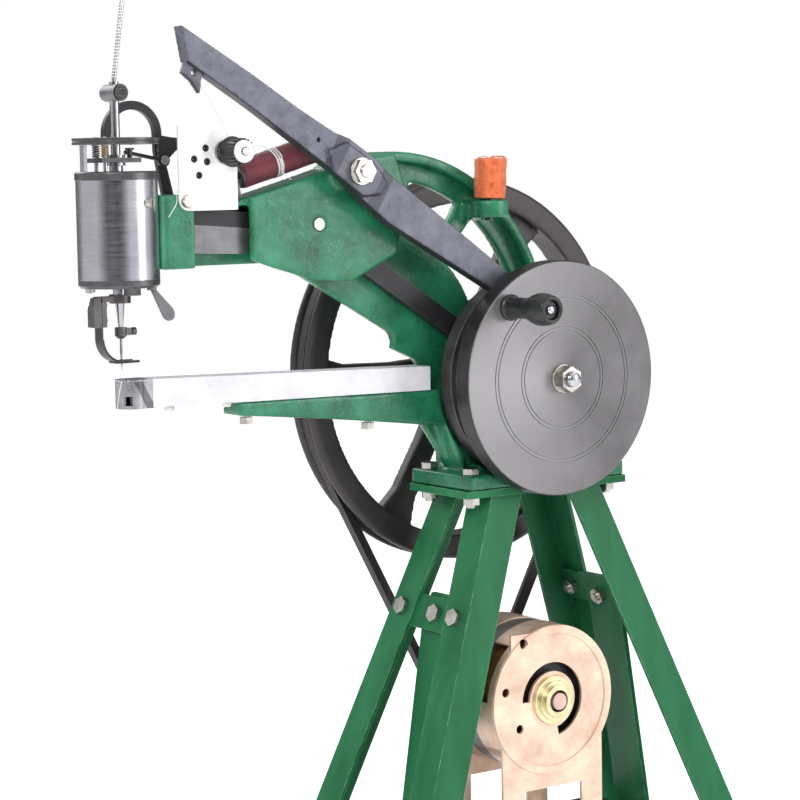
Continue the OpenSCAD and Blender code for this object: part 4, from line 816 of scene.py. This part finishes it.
def studio_world(azimuth):
    """White where the camera looks; the metal mirrors two soft walls with a dim gap at the camera."""
    world = bpy.data.worlds.new("studio")
    bpy.context.scene.world = world
    world.use_nodes = True
    tree = world.node_tree
    nodes, links = tree.nodes, tree.links

    def new(kind, inputs=(), **settings):
        n = nodes.new(kind)
        for k, v in settings.items():
            setattr(n, k, v)
        for socket, v in inputs:
            if isinstance(v, bpy.types.NodeSocket):
                links.new(v, n.inputs[socket])
            else:
                n.inputs[socket].default_value = v
        return n

    def ramp(fac, stops):
        n = new("ShaderNodeValToRGB", [(0, fac)])
        while len(n.color_ramp.elements) < len(stops):
            n.color_ramp.elements.new(0.5)
        for e, (pos, v) in zip(n.color_ramp.elements, stops):
            e.position = pos
            e.color = (v, v, v * 1.015, 1)
        return n.outputs[0]

    seen = nodes["Background"]
    seen.inputs[0].default_value = (1, 1, 1, 1)
    coord = new("ShaderNodeTexCoord")
    a = math.radians(azimuth)
    right = new("ShaderNodeVectorMath", [(0, coord.outputs["Generated"]), (1, (math.cos(a), math.sin(a), 0))],
                operation="DOT_PRODUCT")
    near = new("ShaderNodeVectorMath", [(0, coord.outputs["Generated"]), (1, (math.sin(a), -math.cos(a), 0))],
               operation="DOT_PRODUCT")
    turn = new("ShaderNodeMath", [(0, right.outputs["Value"]), (1, near.outputs["Value"])], operation="ARCTAN2")
    share = new("ShaderNodeMath", [(0, turn.outputs[0]), (1, 1 / (2 * math.pi)), (2, 0.5)],
                operation="MULTIPLY_ADD")
    walls = ramp(share.outputs[0], [(0.0, 0.25), (0.14, 0.3), (0.2, 0.95), (0.37, 1.0), (0.44, 0.12),
                                    (0.55, 0.1), (0.61, 1.2), (0.78, 1.1), (0.84, 0.22), (1.0, 0.2)])
    split = new("ShaderNodeSeparateXYZ", [(0, coord.outputs["Generated"])])
    height = new("ShaderNodeMath", [(0, split.outputs[2]), (1, 0.5), (2, 0.5)], operation="MULTIPLY_ADD")
    over = ramp(height.outputs[0], [(0.0, 0.5), (0.45, 0.55), (0.5, 0.8), (0.72, 1.0), (0.9, 1.0), (1.0, 1.1)])
    up = ramp(height.outputs[0], [(0.0, 0.0), (0.7, 0.0), (0.92, 1.0), (1.0, 1.0)])
    level = new("ShaderNodeMix", [(0, 1.0), (6, walls), (7, over)], data_type="RGBA", blend_type="MULTIPLY")
    dome = new("ShaderNodeMix", [(0, up), (6, level.outputs[2]), (7, (0.9, 0.9, 0.92, 1))], data_type="RGBA")
    lit = new("ShaderNodeBackground", [(0, dome.outputs[2]), (1, 0.95)])
    path = new("ShaderNodeLightPath")
    mix = new("ShaderNodeMixShader",
              [(0, path.outputs["Is Camera Ray"]), (1, lit.outputs[0]), (2, seen.outputs[0])])
    links.new(mix.outputs[0], nodes["World Output"].inputs[0])


def area(name, place, target, size, power, size_y=None):
    """Soft rectangular light at place, in metres, turned to target."""
    light = bpy.data.lights.new(name, "AREA")
    light.energy = power
    light.shape = "RECTANGLE"
    light.size = size
    light.size_y = size_y or size
    o = bpy.data.objects.new(name, light)
    o.location = place
    o.rotation_euler = (Vector(target) - Vector(place)).to_track_quat("-Z", "Y").to_euler()
    bpy.context.scene.collection.objects.link(o)


stage_floor()
studio_world(VIEW_AZIMUTH)
area("key", (-2.2, -1.9, 2.3), (-0.1, 0, 0.65), 1.3, 55)
area("side", (1.7, -2.3, 1.4), (0, 0, 0.6), 1.0, 26, 1.8)
area("back", (-0.6, 2.4, 2.2), (0, 0, 0.7), 1.6, 30)


def view_camera(azimuth, elevation, roll, lens, target, distance):
    """Camera that stands distance from target, both in millimetres, with target in the middle of the frame."""
    a, e, r = (math.radians(v) for v in (azimuth, elevation, roll))
    back = Vector((math.sin(a) * math.cos(e), -math.cos(a) * math.cos(e), math.sin(e)))
    right = Vector((math.cos(a), math.sin(a), 0))
    up = back.cross(right)
    right, up = right * math.cos(r) - up * math.sin(r), right * math.sin(r) + up * math.cos(r)
    cam = bpy.data.cameras.new("camera")
    cam.sensor_width = 36
    cam.lens = lens
    cam.clip_end = 50
    o = bpy.data.objects.new("camera", cam)
    m = Matrix((right, up, back)).transposed().to_4x4()
    m.translation = (Vector(target) + back * distance) * MM
    o.matrix_world = m
    bpy.context.scene.collection.objects.link(o)
    bpy.context.scene.camera = o


view_camera(VIEW_AZIMUTH, elevation=5.5, roll=1.0, lens=108, distance=1932.4,
            target=(-108.4, lo("crank_disc").y + 74.1, SHAFT.z - 15.0))
bpy.context.scene.view_settings.view_transform = "Standard"
bpy.context.scene.view_settings.look = "None"
